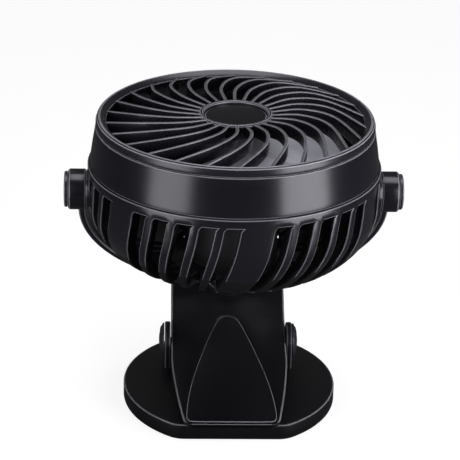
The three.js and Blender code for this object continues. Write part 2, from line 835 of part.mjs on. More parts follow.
// ---------------------------------------------------------------- clip lever
// The lever's top outline in the Y-Z plane: a low front slope that bends up to the swivel seat.
function leverTop() {
  const seat = new THREE.Vector2(
    swivelSeatDepth() * Math.sin(yokeSlant),
    tiltAxisHeight - swivelSeatDepth() * Math.cos(yokeSlant),
  );
  const along = new THREE.Vector2(Math.cos(yokeSlant), Math.sin(yokeSlant));
  const reach = swivelDiscRadius + leverRearMargin;
  const front = new THREE.Vector2(leverTipY, leverTipHeight);
  const seatFront = seat.clone().addScaledVector(along, -reach);
  const gap = seatFront.clone().sub(front);
  const frontSlope = Math.min(leverFrontSlope, leverSlopeShare * gap.angle());
  const frontAlong = new THREE.Vector2(Math.cos(frontSlope), Math.sin(frontSlope));
  const toCorner = gap.cross(along) / frontAlong.cross(along);
  const corner = front.clone().addScaledVector(frontAlong, toCorner);
  const bend = corner.clone().addScaledVector(frontAlong, -leverBendLength);
  const curve = new THREE.QuadraticBezierCurve(bend, corner, seatFront);
  return { front, curve, rear: seat.clone().addScaledVector(along, reach) };
}

function heightOn(points, y) {
  const next = Math.max(1, points.findIndex((point) => point.x >= y));
  const [a, b] = [points[next - 1], points[next]];
  return a.y + ((b.y - a.y) * (y - a.x)) / (b.x - a.x);
}

function leverTopPoints() {
  const { front, curve, rear } = leverTop();
  return [front, ...curve.getPoints(leverBendSteps), rear];
}

function leverBottomPoints() {
  const rear = leverTop().rear;
  return [
    new THREE.Vector2(leverTipY, leverBottomHeight),
    new THREE.Vector2(hingeY - leverBottomBend, leverBottomHeight),
    new THREE.Vector2(rear.x, rear.y - leverRearThickness),
  ];
}

function leverHalfWidthAt(y) {
  const share = Math.max(0, (leverFlareY - y) / (leverFlareY - leverTipY));
  return leverHalfWidth - (leverHalfWidth - leverTipHalfWidth) * share ** leverFlarePower;
}

function cornerLoss(distance, radius) {
  return distance >= radius ? 0 : radius - Math.sqrt(radius ** 2 - (radius - distance) ** 2);
}

function leverStations(front, rear) {
  const bends = leverTop().curve.getPoints(leverBendSteps).map((point) => point.x);
  const stations = [
    ...cornerStations.map((share) => front + share * leverTipCorner),
    ...cornerStations.map((share) => rear - share * leverRearCorner),
    ...leverExtraStations, leverHollowFrontY, hingeY - leverBottomBend, ...bends,
  ];
  return stations.filter((y) => y >= front && y <= rear).sort((a, b) => a - b);
}

const leverTopAt = (y) => heightOn(leverTopPoints(), y);
const hingeHeight = () =>
  leverTopAt(hingeY) - leverSkin - hingeRoofGap - springCoilRadius - springWireRadius;
const leverBottomAt = (y) => heightOn(leverBottomPoints(), y);

// A body with the lever's outline seen from above, inset from it, between two heights along it.
function leverBody({ inset, front, rear, lowAt, highAt, edge }) {
  const loops = leverStations(front, rear).map((y) => {
    const loss = cornerLoss(y - front, leverTipCorner) + cornerLoss(rear - y, leverRearCorner);
    const half = leverHalfWidthAt(y) - inset - loss;
    const [low, high] = [lowAt(y), highAt(y)];
    const section = [
      [-half, low], [half, low], [half, high - edge],
      [half - edge, high], [edge - half, high], [-half, high - edge],
    ];
    return section.map(([x, z]) => new THREE.Vector3(x, y, z));
  });
  return lofted(loops);
}

function leverOutside() {
  return leverBody({
    inset: 0,
    front: leverTipY,
    rear: leverTop().rear.x,
    lowAt: leverBottomAt,
    highAt: leverTopAt,
    edge: leverEdge,
  });
}

// The arch-topped panel seen from above: straight at the tip, round at the apex.
function panelOutline(inset) {
  const shape = new THREE.Shape();
  const half = panelHalfWidth - inset;
  const length = panelApexY - panelFrontY - 2 * inset;
  const side = [];
  for (let i = 0; i <= panelSteps; i++) {
    const along = Math.sin((i / panelSteps) * (Math.PI / 2));
    const width = (1 - along ** panelArchPower) ** (1 / panelSidePower);
    side.push(new THREE.Vector2(half * width, panelFrontY + inset + along * length));
  }
  const other = side.slice(0, -1).reverse().map((point) => new THREE.Vector2(-point.x, point.y));
  shape.setFromPoints([...side, ...other]);
  return shape;
}

function panelColumn(inset) {
  return plate(panelOutline(inset), leverBottomHeight, tiltAxisHeight, 1);
}

function aboveDepth(depth) {
  const edges = { front: leverTipY - cutOver, rear: leverTop().rear.x - cutOver };
  const top = leverTopPoints();
  const loops = leverStations(leverTipY, edges.rear).map((y) => {
    const low = heightOn(top, y) - depth;
    return [[-1, low], [1, low], [1, tiltAxisHeight], [-1, tiltAxisHeight]]
      .map(([side, z]) => new THREE.Vector3(side * (leverHalfWidth + cutOver), y, z));
  });
  return lofted(loops);
}

function leverPanel() {
  return leverOutside().intersect(panelColumn(0)).intersect(aboveDepth(panelThickness));
}

function hingeBore(radius) {
  const across = leverHalfWidth + earThickness + cutOver;
  return alongX(cylinder(radius, -across, across, smallSides), 1).translate([0, hingeY, hingeHeight()]);
}

function inYokeFrame(solid) {
  return solid.rotate([yokeSlant / DEG, 0, 0]).translate([0, 0, tiltAxisHeight]);
}

function leverShell() {
  const rear = leverTop().rear.x;
  const hollow = leverBody({
    inset: leverWall,
    front: leverHollowFrontY,
    rear: rear - leverWall,
    lowAt: (y) => leverBottomAt(y) - cutOver,
    highAt: (y) => leverTopAt(y) - leverSkin,
    edge: leverEdge,
  });
  const recess = panelColumn(-fitGap).intersect(aboveDepth(panelThickness + fitGap));
  const padRecess = box(
    new THREE.Vector3(
      2 * (upperPadHalfWidth + fitGap),
      upperPadLength + 2 * fitGap,
      2 * (upperPadThickness + fitGap - upperPadStand),
    ),
    new THREE.Vector3(0, upperPadFront + upperPadLength / 2, leverBottomHeight),
  );
  const swivelHole = cylinder(
    swivelScrewRadius + runGap,
    -swivelSeatDepth() - leverSkin - cutOver,
    -swivelSeatDepth() + cutOver,
    smallSides,
  );
  return leverOutside()
    .subtract(hollow)
    .subtract(recess)
    .subtract(padRecess)
    .subtract(hingeBore(pinRadius + runGap))
    .subtract(inYokeFrame(swivelHole));
}

// The lever's under-plate, open in the middle where the spring's legs pass to the base.
function leverUnderside() {
  const under = leverBody({
    inset: leverWall + fitGap,
    front: leverHollowFrontY + fitGap,
    rear: leverTop().rear.x - leverWall - fitGap,
    lowAt: leverBottomAt,
    highAt: (y) => leverBottomAt(y) + leverFloor,
    edge: fitGap,
  });
  const legSlotWidth = (springTurns + 1) * springPitch + 4 * springWireRadius;
  const legSlot = box(
    new THREE.Vector3(legSlotWidth, 2 * legSlotReach, hingeHeight()),
    new THREE.Vector3(0, hingeY, leverBottomHeight),
  );
  return under.subtract(legSlot);
}

function upperJawPad() {
  const low = leverBottomHeight - upperPadStand;
  return box(
    new THREE.Vector3(2 * upperPadHalfWidth, upperPadLength, upperPadThickness),
    new THREE.Vector3(0, upperPadFront + upperPadLength / 2, low + upperPadThickness / 2),
  );
}

// ---------------------------------------------------------------- base disc
// The disc seen from above: round, with a flat at the mouth and a short flat at the back.
function baseOutline(inset) {
  const radius = baseRadius - inset;
  const [front, rear] = [baseFrontFlat - inset, baseRearFlat - inset];
  const frontAngle = Math.acos(front / radius);
  const rearAngle = Math.acos(rear / radius);
  const round = baseCornerRadius / radius;
  const onRim = (angle) => new THREE.Vector2(radius * Math.sin(angle), -radius * Math.cos(angle));
  const shape = new THREE.Shape();
  const flatHalf = radius * Math.sin(frontAngle) - baseCornerRadius;
  const start = onRim(frontAngle + round);
  shape.moveTo(-flatHalf, -front);
  shape.lineTo(flatHalf, -front);
  const corner = onRim(frontAngle);
  shape.quadraticCurveTo(corner.x, corner.y, start.x, start.y);
  shape.absarc(0, 0, radius, frontAngle + round - Math.PI / 2, Math.PI / 2 - rearAngle, false);
  shape.lineTo(-radius * Math.sin(rearAngle), rear);
  shape.absarc(0, 0, radius, Math.PI / 2 + rearAngle, Math.PI * 1.5 - frontAngle - round, false);
  shape.quadraticCurveTo(-corner.x, corner.y, -flatHalf, -front);
  return shape;
}

function hingeEar(side) {
  const inner = leverHalfWidth + fitGap;
  const ear = new THREE.Shape();
  ear.moveTo(hingeY - earRadius, baseTopHeight - baseSkin / 2);
  ear.lineTo(hingeY + earRadius, baseTopHeight - baseSkin / 2);
  ear.lineTo(hingeY + earRadius, hingeHeight());
  ear.absarc(hingeY, hingeHeight(), earRadius, 0, Math.PI, false);
  ear.lineTo(hingeY - earRadius, baseTopHeight - baseSkin / 2);
  const geometry = new THREE.ExtrudeGeometry(ear, {
    depth: earThickness,
    bevelEnabled: false,
    curveSegments: earSteps,
  });
  geometry.rotateX(Math.PI / 2).rotateZ(Math.PI / 2);
  const solid = solidOf(geometry).translate([inner, 0, 0]);
  return side > 0 ? solid : solid.mirror([1, 0, 0]);
}

function baseScrewPlaces() {
  return Array.from({ length: baseScrewCount }, (_, i) => {
    const angle = baseScrewFirstAngle + (i * 2 * Math.PI) / baseScrewCount;
    return [baseScrewRing * Math.cos(angle), baseScrewRing * Math.sin(angle), 0];
  });
}

function socketCentreHeight() {
  return bottomCoverHeight + bottomCoverThickness + boardSize.z + 2 * fitGap + socketSize.z / 2;
}

function roundedBar(width, height, length, edge) {
  const shape = new THREE.Shape();
  const straight = (width - height) / 2;
  shape.absarc(straight, 0, height / 2, -Math.PI / 2, Math.PI / 2, false);
  shape.absarc(-straight, 0, height / 2, Math.PI / 2, Math.PI * 1.5, false);
  shape.closePath();
  const geometry = new THREE.ExtrudeGeometry(shape, {
    depth: length - edge,
    bevelEnabled: edge > 0,
    bevelThickness: edge,
    bevelSize: edge,
    bevelOffset: -edge,
    bevelSegments: 1,
    curveSegments: barSteps,
  });
  return solidOf(geometry.rotateX(-Math.PI / 2));
}

function baseShell() {
  const disc = new THREE.ExtrudeGeometry(baseOutline(baseEdge), {
    depth: baseTopHeight - baseRimHeight - 2 * baseEdge,
    bevelThickness: baseEdge,
    bevelSize: baseEdge,
    bevelSegments: 1,
    curveSegments: baseArcSteps,
  }).translate(0, 0, baseRimHeight + baseEdge);
  const roof = baseTopHeight - baseSkin;
  const hollow = plate(baseOutline(baseWall), baseRimHeight - cutOver, roof, baseArcSteps);
  const bossLow = bottomCoverHeight + bottomCoverThickness + fitGap;
  const bosses = baseScrewPlaces().map((place) =>
    cylinder(baseBossRadius, bossLow, roof + baseSkin / 2, smallSides).translate(place));
  const tapped = baseScrewPlaces().map((place) =>
    cylinder(baseScrewRadius + runGap, baseRimHeight, roof, smallSides).translate(place));
  const padRecess = box(
    new THREE.Vector3(
      2 * (lowerPadHalfWidth + fitGap),
      lowerPadLength + 2 * fitGap,
      2 * (lowerPadThickness + fitGap - lowerPadStand),
    ),
    new THREE.Vector3(0, lowerPadFront + lowerPadLength / 2, baseTopHeight),
  );
  const rearHole = (width, height, x) =>
    roundedBar(width + 2 * fitGap, height + 2 * fitGap, baseWall + 2 * cutOver, 0)
      .translate([x, baseRearFlat - baseWall - cutOver, socketCentreHeight()]);
  return joined([solidOf(disc).subtract(hollow), ...bosses, hingeEar(1), hingeEar(-1)])
    .subtract(joined(tapped))
    .subtract(padRecess)
    .subtract(rearHole(socketSize.x, socketSize.z, socketX))
    .subtract(rearHole(buttonSize.x, buttonSize.y, buttonX))
    .subtract(hingeBore(pinRadius + fitGap / 2));
}

function baseBottom() {
  const cover = plate(
    baseOutline(baseWall + fitGap),
    bottomCoverHeight,
    bottomCoverHeight + bottomCoverThickness,
    baseArcSteps,
  );
  const over = bottomCoverHeight + bottomCoverThickness + cutOver;
  const holes = baseScrewPlaces().map((place) =>
    cylinder(baseScrewRadius + runGap, 0, over, smallSides).translate(place));
  return cover.subtract(joined(holes));
}

function baseScrew(place) {
  const headTop = bottomCoverHeight - fitGap;
  return turned([
    [0, footPadRecess],
    [baseScrewHeadRadius, footPadRecess],
    [baseScrewHeadRadius, headTop],
    [baseScrewRadius, headTop],
    [baseScrewRadius, baseTopHeight - baseSkin - fitGap],
    [0, baseTopHeight - baseSkin - fitGap],
  ], smallSides).translate(place);
}

function footPad() {
  const pad = plate(baseOutline(footPadInset), 0, bottomCoverHeight - fitGap, baseArcSteps);
  const hole = cylinder(baseScrewHeadRadius + fitGap, -cutOver, bottomCoverHeight + cutOver, smallSides);
  const holes = baseScrewPlaces().map((place) => hole.translate(place));
  return pad.subtract(joined(holes));
}

function lowerJawPad() {
  const top = baseTopHeight + lowerPadStand;
  return box(
    new THREE.Vector3(2 * lowerPadHalfWidth, lowerPadLength, lowerPadThickness),
    new THREE.Vector3(0, lowerPadFront + lowerPadLength / 2, top - lowerPadThickness / 2),
  );
}

function earFace() {
  return leverHalfWidth + fitGap + earThickness;
}

function hingePin() {
  const pin = cylinder(pinRadius, -earFace(), earFace(), smallSides);
  return alongX(pin, 1).translate([0, hingeY, hingeHeight()]);
}

function hingeCap(side) {
  const inner = earFace() + fitGap;
  const outer = inner + hingeCapThickness;
  const cap = turned([
    [0, inner],
    [hingeCapRadius, inner],
    [hingeCapRadius, outer - hingeCapChamfer],
    [hingeCapRadius - hingeCapChamfer, outer],
    [hingeDimpleRadius, outer],
    [hingeDimpleRadius - hingeCapChamfer, outer - hingeCapChamfer],
    [0, outer - hingeCapChamfer],
  ], roundSides);
  return alongX(cap, side).translate([0, hingeY, hingeHeight()]);
}

// ---------------------------------------------------------------- electrics in the base
function batteryPack() {
  const low = bottomCoverHeight + bottomCoverThickness + fitGap;
  const centre = new THREE.Vector3(0, batterySize.y / 2 - batteryHalfWidth, low + batterySize.z / 2);
  return box(batterySize, centre);
}

function controlBoard() {
  const low = bottomCoverHeight + bottomCoverThickness + fitGap;
  const back = baseRearFlat - baseWall - buttonFlange - buttonTravel - fitGap;
  const board = box(boardSize, new THREE.Vector3(0, back - boardSize.y / 2, low + boardSize.z / 2));
  const stemEnd = back - buttonStem * (1 - buttonStemIn);
  const onBoard = low + boardSize.z - fitGap;
  const switchBody = box(
    switchSize,
    new THREE.Vector3(buttonX, stemEnd - switchSize.y / 2, onBoard + switchSize.z / 2),
  );
  const chip = box(
    chipSize,
    new THREE.Vector3(0, back - boardSize.y + chipSize.y, onBoard + chipSize.z / 2),
  );
  return joined([board, switchBody, chip]);
}

function chargingSocket() {
  const body = roundedBar(socketSize.x, socketSize.z, socketSize.y, 0);
  const mouth = roundedBar(socketSize.x - 2 * socketWall, socketSize.z - 2 * socketWall, socketSize.y, 0)
    .translate([0, socketWall * 2, 0]);
  const tongue = box(
    new THREE.Vector3(socketSize.x - 4 * socketWall, socketSize.y - 3 * socketWall, socketTongue),
    new THREE.Vector3(0, socketSize.y / 2, 0),
  );
  const socket = body.subtract(mouth).add(tongue);
  return socket.translate([socketX, baseRearFlat - fitGap - socketSize.y, socketCentreHeight()]);
}

function powerButton() {
  const wallInside = baseRearFlat - baseWall;
  const cap = roundedBar(buttonSize.x, buttonSize.y, baseWall + buttonStand + buttonFlange, buttonEdge);
  const flange = box(
    new THREE.Vector3(buttonSize.x + 4 * fitGap, buttonFlange - fitGap, buttonSize.y),
    new THREE.Vector3(0, buttonFlange / 2, 0),
  );
  const stem = box(
    new THREE.Vector3(buttonStem, buttonStem, buttonStem),
    new THREE.Vector3(0, buttonStem * (buttonStemIn - 0.5), 0),
  );
  return joined([cap, flange, stem]).translate([buttonX, wallInside - buttonFlange, socketCentreHeight()]);
}

// ---------------------------------------------------------------- clip spring
// The steepest rise at which the upper leg stays clear of the lever's roof all along.
function springUpperLegRise() {
  const rises = Array.from({ length: springLegChecks }, (_, i) => {
    const reach = (springUpperLegLength * (i + 1)) / springLegChecks;
    const room = leverTopAt(hingeY + reach) - leverSkin - springRoofGap - hingeHeight();
    return Math.atan2(room - springCoilRadius - springWireRadius, reach);
  });
  return Math.min(...rises);
}

// The length at which the lower leg's tip lies just over the base.
function springLowerLegLength() {
  const room = hingeHeight() - springCoilRadius - springWireRadius - baseTopHeight - fitGap;
  return room / Math.sin(springLowerLegFall);
}

// A torsion spring round the hinge pin: its upper leg bears on the lever's roof, its lower leg on
// the base, both behind the hinge, so that it holds the mouth shut.
function clipSpring() {
  const start = Math.PI / 2 + springUpperLegRise();
  const sweep = springTurns * 2 * Math.PI + Math.PI - springUpperLegRise() - springLowerLegFall;
  const coil = Array.from({ length: springCoilSteps + 1 }, (_, i) => i / springCoilSteps);
  const stops = coil.map((share) => ({ share, leg: 0 }));
  stops.unshift({ share: 0, leg: -springUpperLegLength });
  stops.push({ share: 1, leg: springLowerLegLength() });
  const loops = stops.map(({ share, leg }) => {
    const angle = start + share * sweep;
    const outward = new THREE.Vector3(0, Math.cos(angle), Math.sin(angle));
    const along = new THREE.Vector3(0, -Math.sin(angle), Math.cos(angle));
    const x = (share - 0.5) * (sweep / (2 * Math.PI)) * springPitch;
    const centre = new THREE.Vector3(x, 0, 0)
      .addScaledVector(outward, springCoilRadius)
      .addScaledVector(along, leg);
    return Array.from({ length: springWireSides }, (_, i) => {
      const turn = (i * 2 * Math.PI) / springWireSides;
      const point = centre.clone().addScaledVector(outward, springWireRadius * Math.cos(turn));
      return point.setX(point.x + springWireRadius * Math.sin(turn));
    });
  });
  return lofted(loops).translate([0, hingeY, hingeHeight()]);
}

// ---------------------------------------------------------------- assembly
const head = new THREE.Group();
head.position.z = tiltAxisHeight;
addPiece(head, "front_grille", "grille", frontGrille());
addPiece(head, "grille_centre_cap", "clip", grilleCentreCap());
addPiece(head, "housing_band", "shell", housingBand());
addPiece(head, "rear_shell", "shell", rearShell());
addPiece(head, "rear_hub_cover", "clip", rearHubCover());
addPiece(head, "motor_can", "steel", motorCan());
addPiece(head, "motor_end_cap", "rubber", motorEndCap());
addPiece(head, "motor_screw_front", "steel", motorScrew(-1));
addPiece(head, "motor_screw_rear", "steel", motorScrew(1));
addPiece(head, "motor_shaft", "steel", motorShaft());
addPiece(head, "impeller", "impeller", impeller());
addPiece(head, "pivot_screw_left", "steel", pivotScrew(-1));
addPiece(head, "pivot_screw_right", "steel", pivotScrew(1));

const yoke = new THREE.Group();
yoke.position.z = tiltAxisHeight;
yoke.rotation.x = yokeSlant;
addPiece(yoke, "yoke_arm", "shell", yokeArm());
addPiece(yoke, "pivot_cap_left", "shell", pivotCap(-1));
addPiece(yoke, "pivot_cap_right", "shell", pivotCap(1));
addPiece(yoke, "swivel_screw", "steel", swivelScrew());
addPiece(yoke, "swivel_washer", "steel", swivelWasher());

const clip = new THREE.Group();
addPiece(clip, "lever_shell", "clip", leverShell());
addPiece(clip, "lever_panel", "clip", leverPanel());
addPiece(clip, "lever_underside", "clip", leverUnderside());
addPiece(clip, "upper_jaw_pad", "rubber", upperJawPad());

const base = new THREE.Group();
addPiece(base, "base_shell", "clip", baseShell());
addPiece(base, "base_bottom", "clip", baseBottom());
baseScrewPlaces().forEach((place, i) => addPiece(base, `base_screw_${i + 1}`, "steel", baseScrew(place)));
addPiece(base, "foot_pad", "rubber", footPad());
addPiece(base, "lower_jaw_pad", "rubber", lowerJawPad());
addPiece(base, "hinge_pin", "steel", hingePin());
addPiece(base, "hinge_cap_left", "clip", hingeCap(-1));
addPiece(base, "hinge_cap_right", "clip", hingeCap(1));
addPiece(base, "clip_spring", "steel", clipSpring());
addPiece(base, "battery_pack", "cell", batteryPack());
addPiece(base, "control_board", "board", controlBoard());
addPiece(base, "charging_socket", "steel", chargingSocket());
addPiece(base, "power_button", "shell", powerButton());

const group = new THREE.Group();
group.add(head, yoke, clip, base);
export default group;
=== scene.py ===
import math

import bpy
from mathutils import Matrix, Vector


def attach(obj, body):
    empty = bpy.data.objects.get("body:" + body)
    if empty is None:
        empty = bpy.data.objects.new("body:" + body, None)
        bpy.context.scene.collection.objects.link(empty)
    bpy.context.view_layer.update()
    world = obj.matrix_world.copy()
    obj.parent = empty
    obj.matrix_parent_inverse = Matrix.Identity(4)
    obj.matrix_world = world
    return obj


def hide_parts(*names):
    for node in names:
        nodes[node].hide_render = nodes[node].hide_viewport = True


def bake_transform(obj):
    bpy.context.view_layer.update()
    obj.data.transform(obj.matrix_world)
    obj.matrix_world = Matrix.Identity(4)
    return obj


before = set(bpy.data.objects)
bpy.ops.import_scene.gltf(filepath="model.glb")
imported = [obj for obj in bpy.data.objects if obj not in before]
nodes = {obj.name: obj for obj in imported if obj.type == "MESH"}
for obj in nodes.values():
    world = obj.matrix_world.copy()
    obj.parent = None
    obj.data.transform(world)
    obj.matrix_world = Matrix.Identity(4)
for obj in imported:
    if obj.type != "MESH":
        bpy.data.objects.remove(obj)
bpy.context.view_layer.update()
MM = 0.001
TURN = 2 * math.pi


# ---------------------------------------------------------------- base disc
# A hollow disc of satin black ABS, 100 mm across, that is the clip's lower jaw and the fan's foot. It is
# moulded in one with the two ears that carry the hinge pin, and cut straight under the clip's mouth.
DISC_RADIUS = 50.1
DISC_LOW, DISC_TOP = 0.4, 7.9
DISC_FRONT, DISC_REAR = 43.4, 48.4
DISC_WALL, DISC_SKIN = 2.2, 1.4
DISC_CORNER, DISC_REAR_CORNER = 12, 6
DISC_SIDES = 240
OVERRUN = 1  # how far a cutter runs past what it cuts
JAW_RECESS = (36.6, 20.6, 2.1)
JAW_RECESS_Y = -31
INLET_X, BUTTON_X, INLET_Z = -6, 6.5, 4.8
INLET_HOLE, BUTTON_HOLE, HOLE_HEIGHT, HOLE_DEPTH = 9.5, 7.6, 3.35, 9
HINGE_Y, HINGE_Z = 20, 18.5
EAR_INSIDE, EAR_THICKNESS, EAR_RADIUS, EAR_SUNK = 27.9, 2.7, 9, 0.6
# How close to the disc's outline its painted edge highlight reaches.
HIGHLIGHT_BAND = 1
SATIN_BLACK = (0.0028, 0.0026, 0.0034)
# The pale grey of the painted highlight on edges.
PAINTED_HIGHLIGHT_GREY = (0.42, 0.415, 0.44)
# The near-black of the painted shade inside the bowl.
PAINTED_SHADE_BLACK = (0.001, 0.001, 0.0012)


class Value:
    """A node's socket that takes part in sums: an expression on it adds its Math nodes."""

    def __init__(self, tree, socket):
        self.tree, self.socket = tree, socket

    def math(self, operation, *values):
        node = self.tree.nodes.new("ShaderNodeMath")
        node.operation = operation
        for slot, value in zip(node.inputs, values):
            if isinstance(value, Value):
                self.tree.links.new(value.socket, slot)
            else:
                slot.default_value = value
        return Value(self.tree, node.outputs[0])

    def __add__(self, other):
        return self.math("ADD", self, other)

    def __sub__(self, other):
        return self.math("SUBTRACT", self, other)

    def __rsub__(self, other):
        return self.math("SUBTRACT", other, self)

    def __mul__(self, other):
        return self.math("MULTIPLY", self, other)

    def clamped(self):
        return self.math("MAXIMUM", self.math("MINIMUM", self, 1.0), 0.0)

    __radd__, __rmul__ = __add__, __mul__


class Finish:
    """A material, or a world, whose nodes are added one call at a time."""

    def __init__(self, name, kind="materials"):
        self.owner = getattr(bpy.data, kind).new(name)
        self.owner.use_nodes = True
        self.tree = self.owner.node_tree
        self.tree.nodes.clear()

    def node(self, kind, settings=None, values=None, output=0):
        node = self.tree.nodes.new("ShaderNode" + kind)
        for name, value in (settings or {}).items():
            setattr(node, name, value)
        for name, value in (values or {}).items():
            if isinstance(value, Value):
                self.tree.links.new(value.socket, node.inputs[name])
            else:
                node.inputs[name].default_value = value
        return Value(self.tree, node.outputs[output])

    def noise(self, scale, detail=2.0):
        place = self.node("TexCoord", output="Object")
        return self.node("TexNoise", values={"Vector": place, "Scale": scale, "Detail": detail})

    def mixed(self, factor, *colours):
        """The first colour where the factor is 0 and the second where it is 1."""
        first, second = (c if isinstance(c, Value) else (*c, 1) for c in colours)
        return self.node("Mix", {"data_type": "RGBA"}, {0: factor, 6: first, 7: second}, output=2)

    def light_path(self, ray):
        return self.node("LightPath", output=f"Is {ray} Ray")

    def finished(self, surface, kind="Material"):
        output = self.tree.nodes.new(f"ShaderNodeOutput{kind}")
        self.tree.links.new(surface.socket, output.inputs["Surface"])
        return self.owner

    def principled(self, values):
        return self.finished(self.node("BsdfPrincipled", values=values))


def moulded_plastic(name, colour, roughness, grain, edge_light, sheen=0.5):
    """Injection-moulded plastic: a fine spark-eroded grain, faint flow marks and a painted highlight that
    makes the marked edges paler. The faces that its core side formed are rougher, and painted darker as
    painted shade."""
    finish = Finish(name)
    flow = finish.noise(38, 3)
    speck = finish.noise(1500, 2)
    pores = finish.noise(2600, 1)
    paler = tuple(1.9 * part + 0.0012 for part in colour)
    body = finish.mixed((flow * 0.55 + speck * 0.45 - 0.28).clamped(), colour, paler)
    painted_highlight = finish.node("Attribute", {"attribute_name": "painted_highlight"}, output="Fac")
    core_shade = finish.node("Attribute", {"attribute_name": "core_side_painted_shade"}, output="Fac")
    # Painted highlight: the marked edges are mixed towards a pale grey.
    highlighted = finish.mixed((painted_highlight * (0.75 + flow * 0.5) * edge_light).clamped(), body, PAINTED_HIGHLIGHT_GREY)
    bump = finish.node("Bump", values={"Strength": grain, "Distance": 0.00006, "Height": speck + pores})
    return finish.principled({
        # Painted shade: the marked faces inside the bowl are mixed towards near-black.
        "Base Color": finish.mixed(core_shade, highlighted, PAINTED_SHADE_BLACK),
        "Roughness": roughness + flow * 0.09 + speck * 0.05 - 0.07 + core_shade * 0.35,
        "Specular IOR Level": sheen,
        "Normal": bump,
    })


def select_only(piece):
    if bpy.context.mode != "OBJECT":
        bpy.ops.object.mode_set(mode="OBJECT")
    bpy.ops.object.select_all(action="DESELECT")
    piece.select_set(True)
    bpy.context.view_layer.objects.active = piece


def new_piece(name):
    """Names the primitive just added and puts its place in its mesh."""
    piece = bpy.context.object
    piece.name = piece.data.name = name
    select_only(piece)
    bpy.ops.object.transform_apply(location=True, rotation=True, scale=True)
    return piece


def edit(piece, mode="FACE"):
    select_only(piece)
    bpy.ops.object.mode_set(mode="EDIT")
    bpy.ops.mesh.select_mode(type=mode)


def done():
    """Welds the mesh being edited, turns its faces outwards and leaves edit mode."""
    bpy.ops.mesh.select_all(action="SELECT")
    bpy.ops.mesh.remove_doubles(threshold=0.000002)
    bpy.ops.mesh.normals_make_consistent(inside=False)
    bpy.ops.object.mode_set(mode="OBJECT")


def pick_faces(piece, wanted):
    """Leaves the piece in edit mode with the faces selected whose centre and normal are wanted."""
    edit(piece)
    bpy.ops.mesh.select_all(action="DESELECT")
    bpy.ops.object.mode_set(mode="OBJECT")
    for face in piece.data.polygons:
        face.select = wanted(face.center / MM, face.normal)
    bpy.ops.object.mode_set(mode="EDIT")


def apply_modifier(piece, kind, **settings):
    select_only(piece)
    modifier = piece.modifiers.new(kind.title(), kind)
    for name, value in settings.items():
        setattr(modifier, name, value)
    bpy.ops.object.modifier_apply(modifier=modifier.name)


def soften(piece, width, segments=2, angle=32, painted_highlight=None, highlight=1):
    """Breaks the sharp edges by width millimetres and shades the rest smooth. The broken edges are marked
    with a painted highlight of the given strength, which shows as paler plastic: all of them, or only
    those picked by their centre and normal."""
    piece.data.materials.clear()
    for _ in range(2):
        piece.data.materials.append(None)
    apply_modifier(
        piece, "BEVEL", width=width * MM, segments=segments, limit_method="ANGLE",
        angle_limit=math.radians(angle), use_clamp_overlap=False, material=1,
    )
    marks = piece.data.attributes.new("painted_highlight", "FLOAT", "FACE")
    for mark, face in zip(marks.data, piece.data.polygons):
        if face.material_index == 1 and (painted_highlight is None or painted_highlight(face.center / MM, face.normal)):
            mark.value = highlight
        face.material_index = 0
    smooth(piece)


def smooth(piece, angle=34):
    select_only(piece)
    bpy.ops.object.shade_smooth_by_angle(angle=math.radians(angle))


def cut(piece, tool, operation="DIFFERENCE"):
    apply_modifier(piece, "BOOLEAN", operation=operation, solver="EXACT", object=tool)
    bpy.data.objects.remove(tool)


def joined(name, pieces):
    select_only(pieces[0])
    for piece in pieces[1:]:
        piece.select_set(True)
    bpy.ops.object.join()
    pieces[0].name = pieces[0].data.name = name
    return pieces[0]


def placed(piece, matrix):
    piece.matrix_world = matrix
    select_only(piece)
    bpy.ops.object.transform_apply(location=True, rotation=True, scale=True)
    return piece


def block(name, size, centre):
    bpy.ops.mesh.primitive_cube_add(size=MM, location=Vector(centre) * MM, scale=size)
    return new_piece(name)


def dressed(piece, body, material, node):
    """Gives a piece its material, its body and the node that it replaces."""
    piece.data.materials.clear()
    piece.data.materials.append(material)
    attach(piece, body)
    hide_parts(node)


def disc_reach(turn):
    """How far the disc's outline lies from its centre: round, with a front flat on rounded corners and a
    short flat behind. turn is 0 at the front."""
    flat = DISC_FRONT if math.cos(turn) > 0 else DISC_REAR
    corner = DISC_CORNER if math.cos(turn) > 0 else DISC_REAR_CORNER
    corner_y = flat - corner
    corner_x = math.sqrt((DISC_RADIUS - corner) ** 2 - corner_y ** 2)
    across, along = abs(math.sin(turn)), abs(math.cos(turn))
    if across * flat < corner_x * along:
        return flat / along
    if across * corner_y > corner_x * along:
        return DISC_RADIUS
    middle = across * corner_x + along * corner_y
    return middle + math.sqrt(corner ** 2 - corner_x ** 2 - corner_y ** 2 + middle ** 2)


def disc_plate(name, inset, low, high):
    """A plate of the disc's outline, drawn in by inset all round."""
    bpy.ops.mesh.primitive_circle_add(vertices=DISC_SIDES, radius=MM, fill_type="NGON")
    plate = new_piece(name)
    for vertex in plate.data.vertices:
        turn = math.atan2(vertex.co.x, -vertex.co.y)
        reach = disc_reach(turn) - inset
        vertex.co = Vector((reach * math.sin(turn), -reach * math.cos(turn), low)) * MM
    edit(plate)
    bpy.ops.mesh.select_all(action="SELECT")
    bpy.ops.mesh.extrude_region_move(TRANSFORM_OT_translate={"value": (0, 0, (high - low) * MM)})
    done()
    return plate


disc = disc_plate("base_disc", 0, DISC_LOW, DISC_TOP)
cut(disc, disc_plate("disc_hollow", DISC_WALL, DISC_LOW - OVERRUN, DISC_TOP - DISC_SKIN))


def rounded_bar(name, width, height, length, at):
    """A bar with half-round sides, lying along Y, such as the outline of an inlet."""
    bpy.ops.mesh.primitive_cylinder_add(
        vertices=40, radius=height / 2 * MM, depth=length * MM, rotation=(math.pi / 2, 0, 0))
    bar = new_piece(name)
    for vertex in bar.data.vertices:
        vertex.co.x += math.copysign((width - height) / 2 * MM, vertex.co.x + 1e-7)
    return placed(bar, Matrix.Translation(Vector(at) * MM))


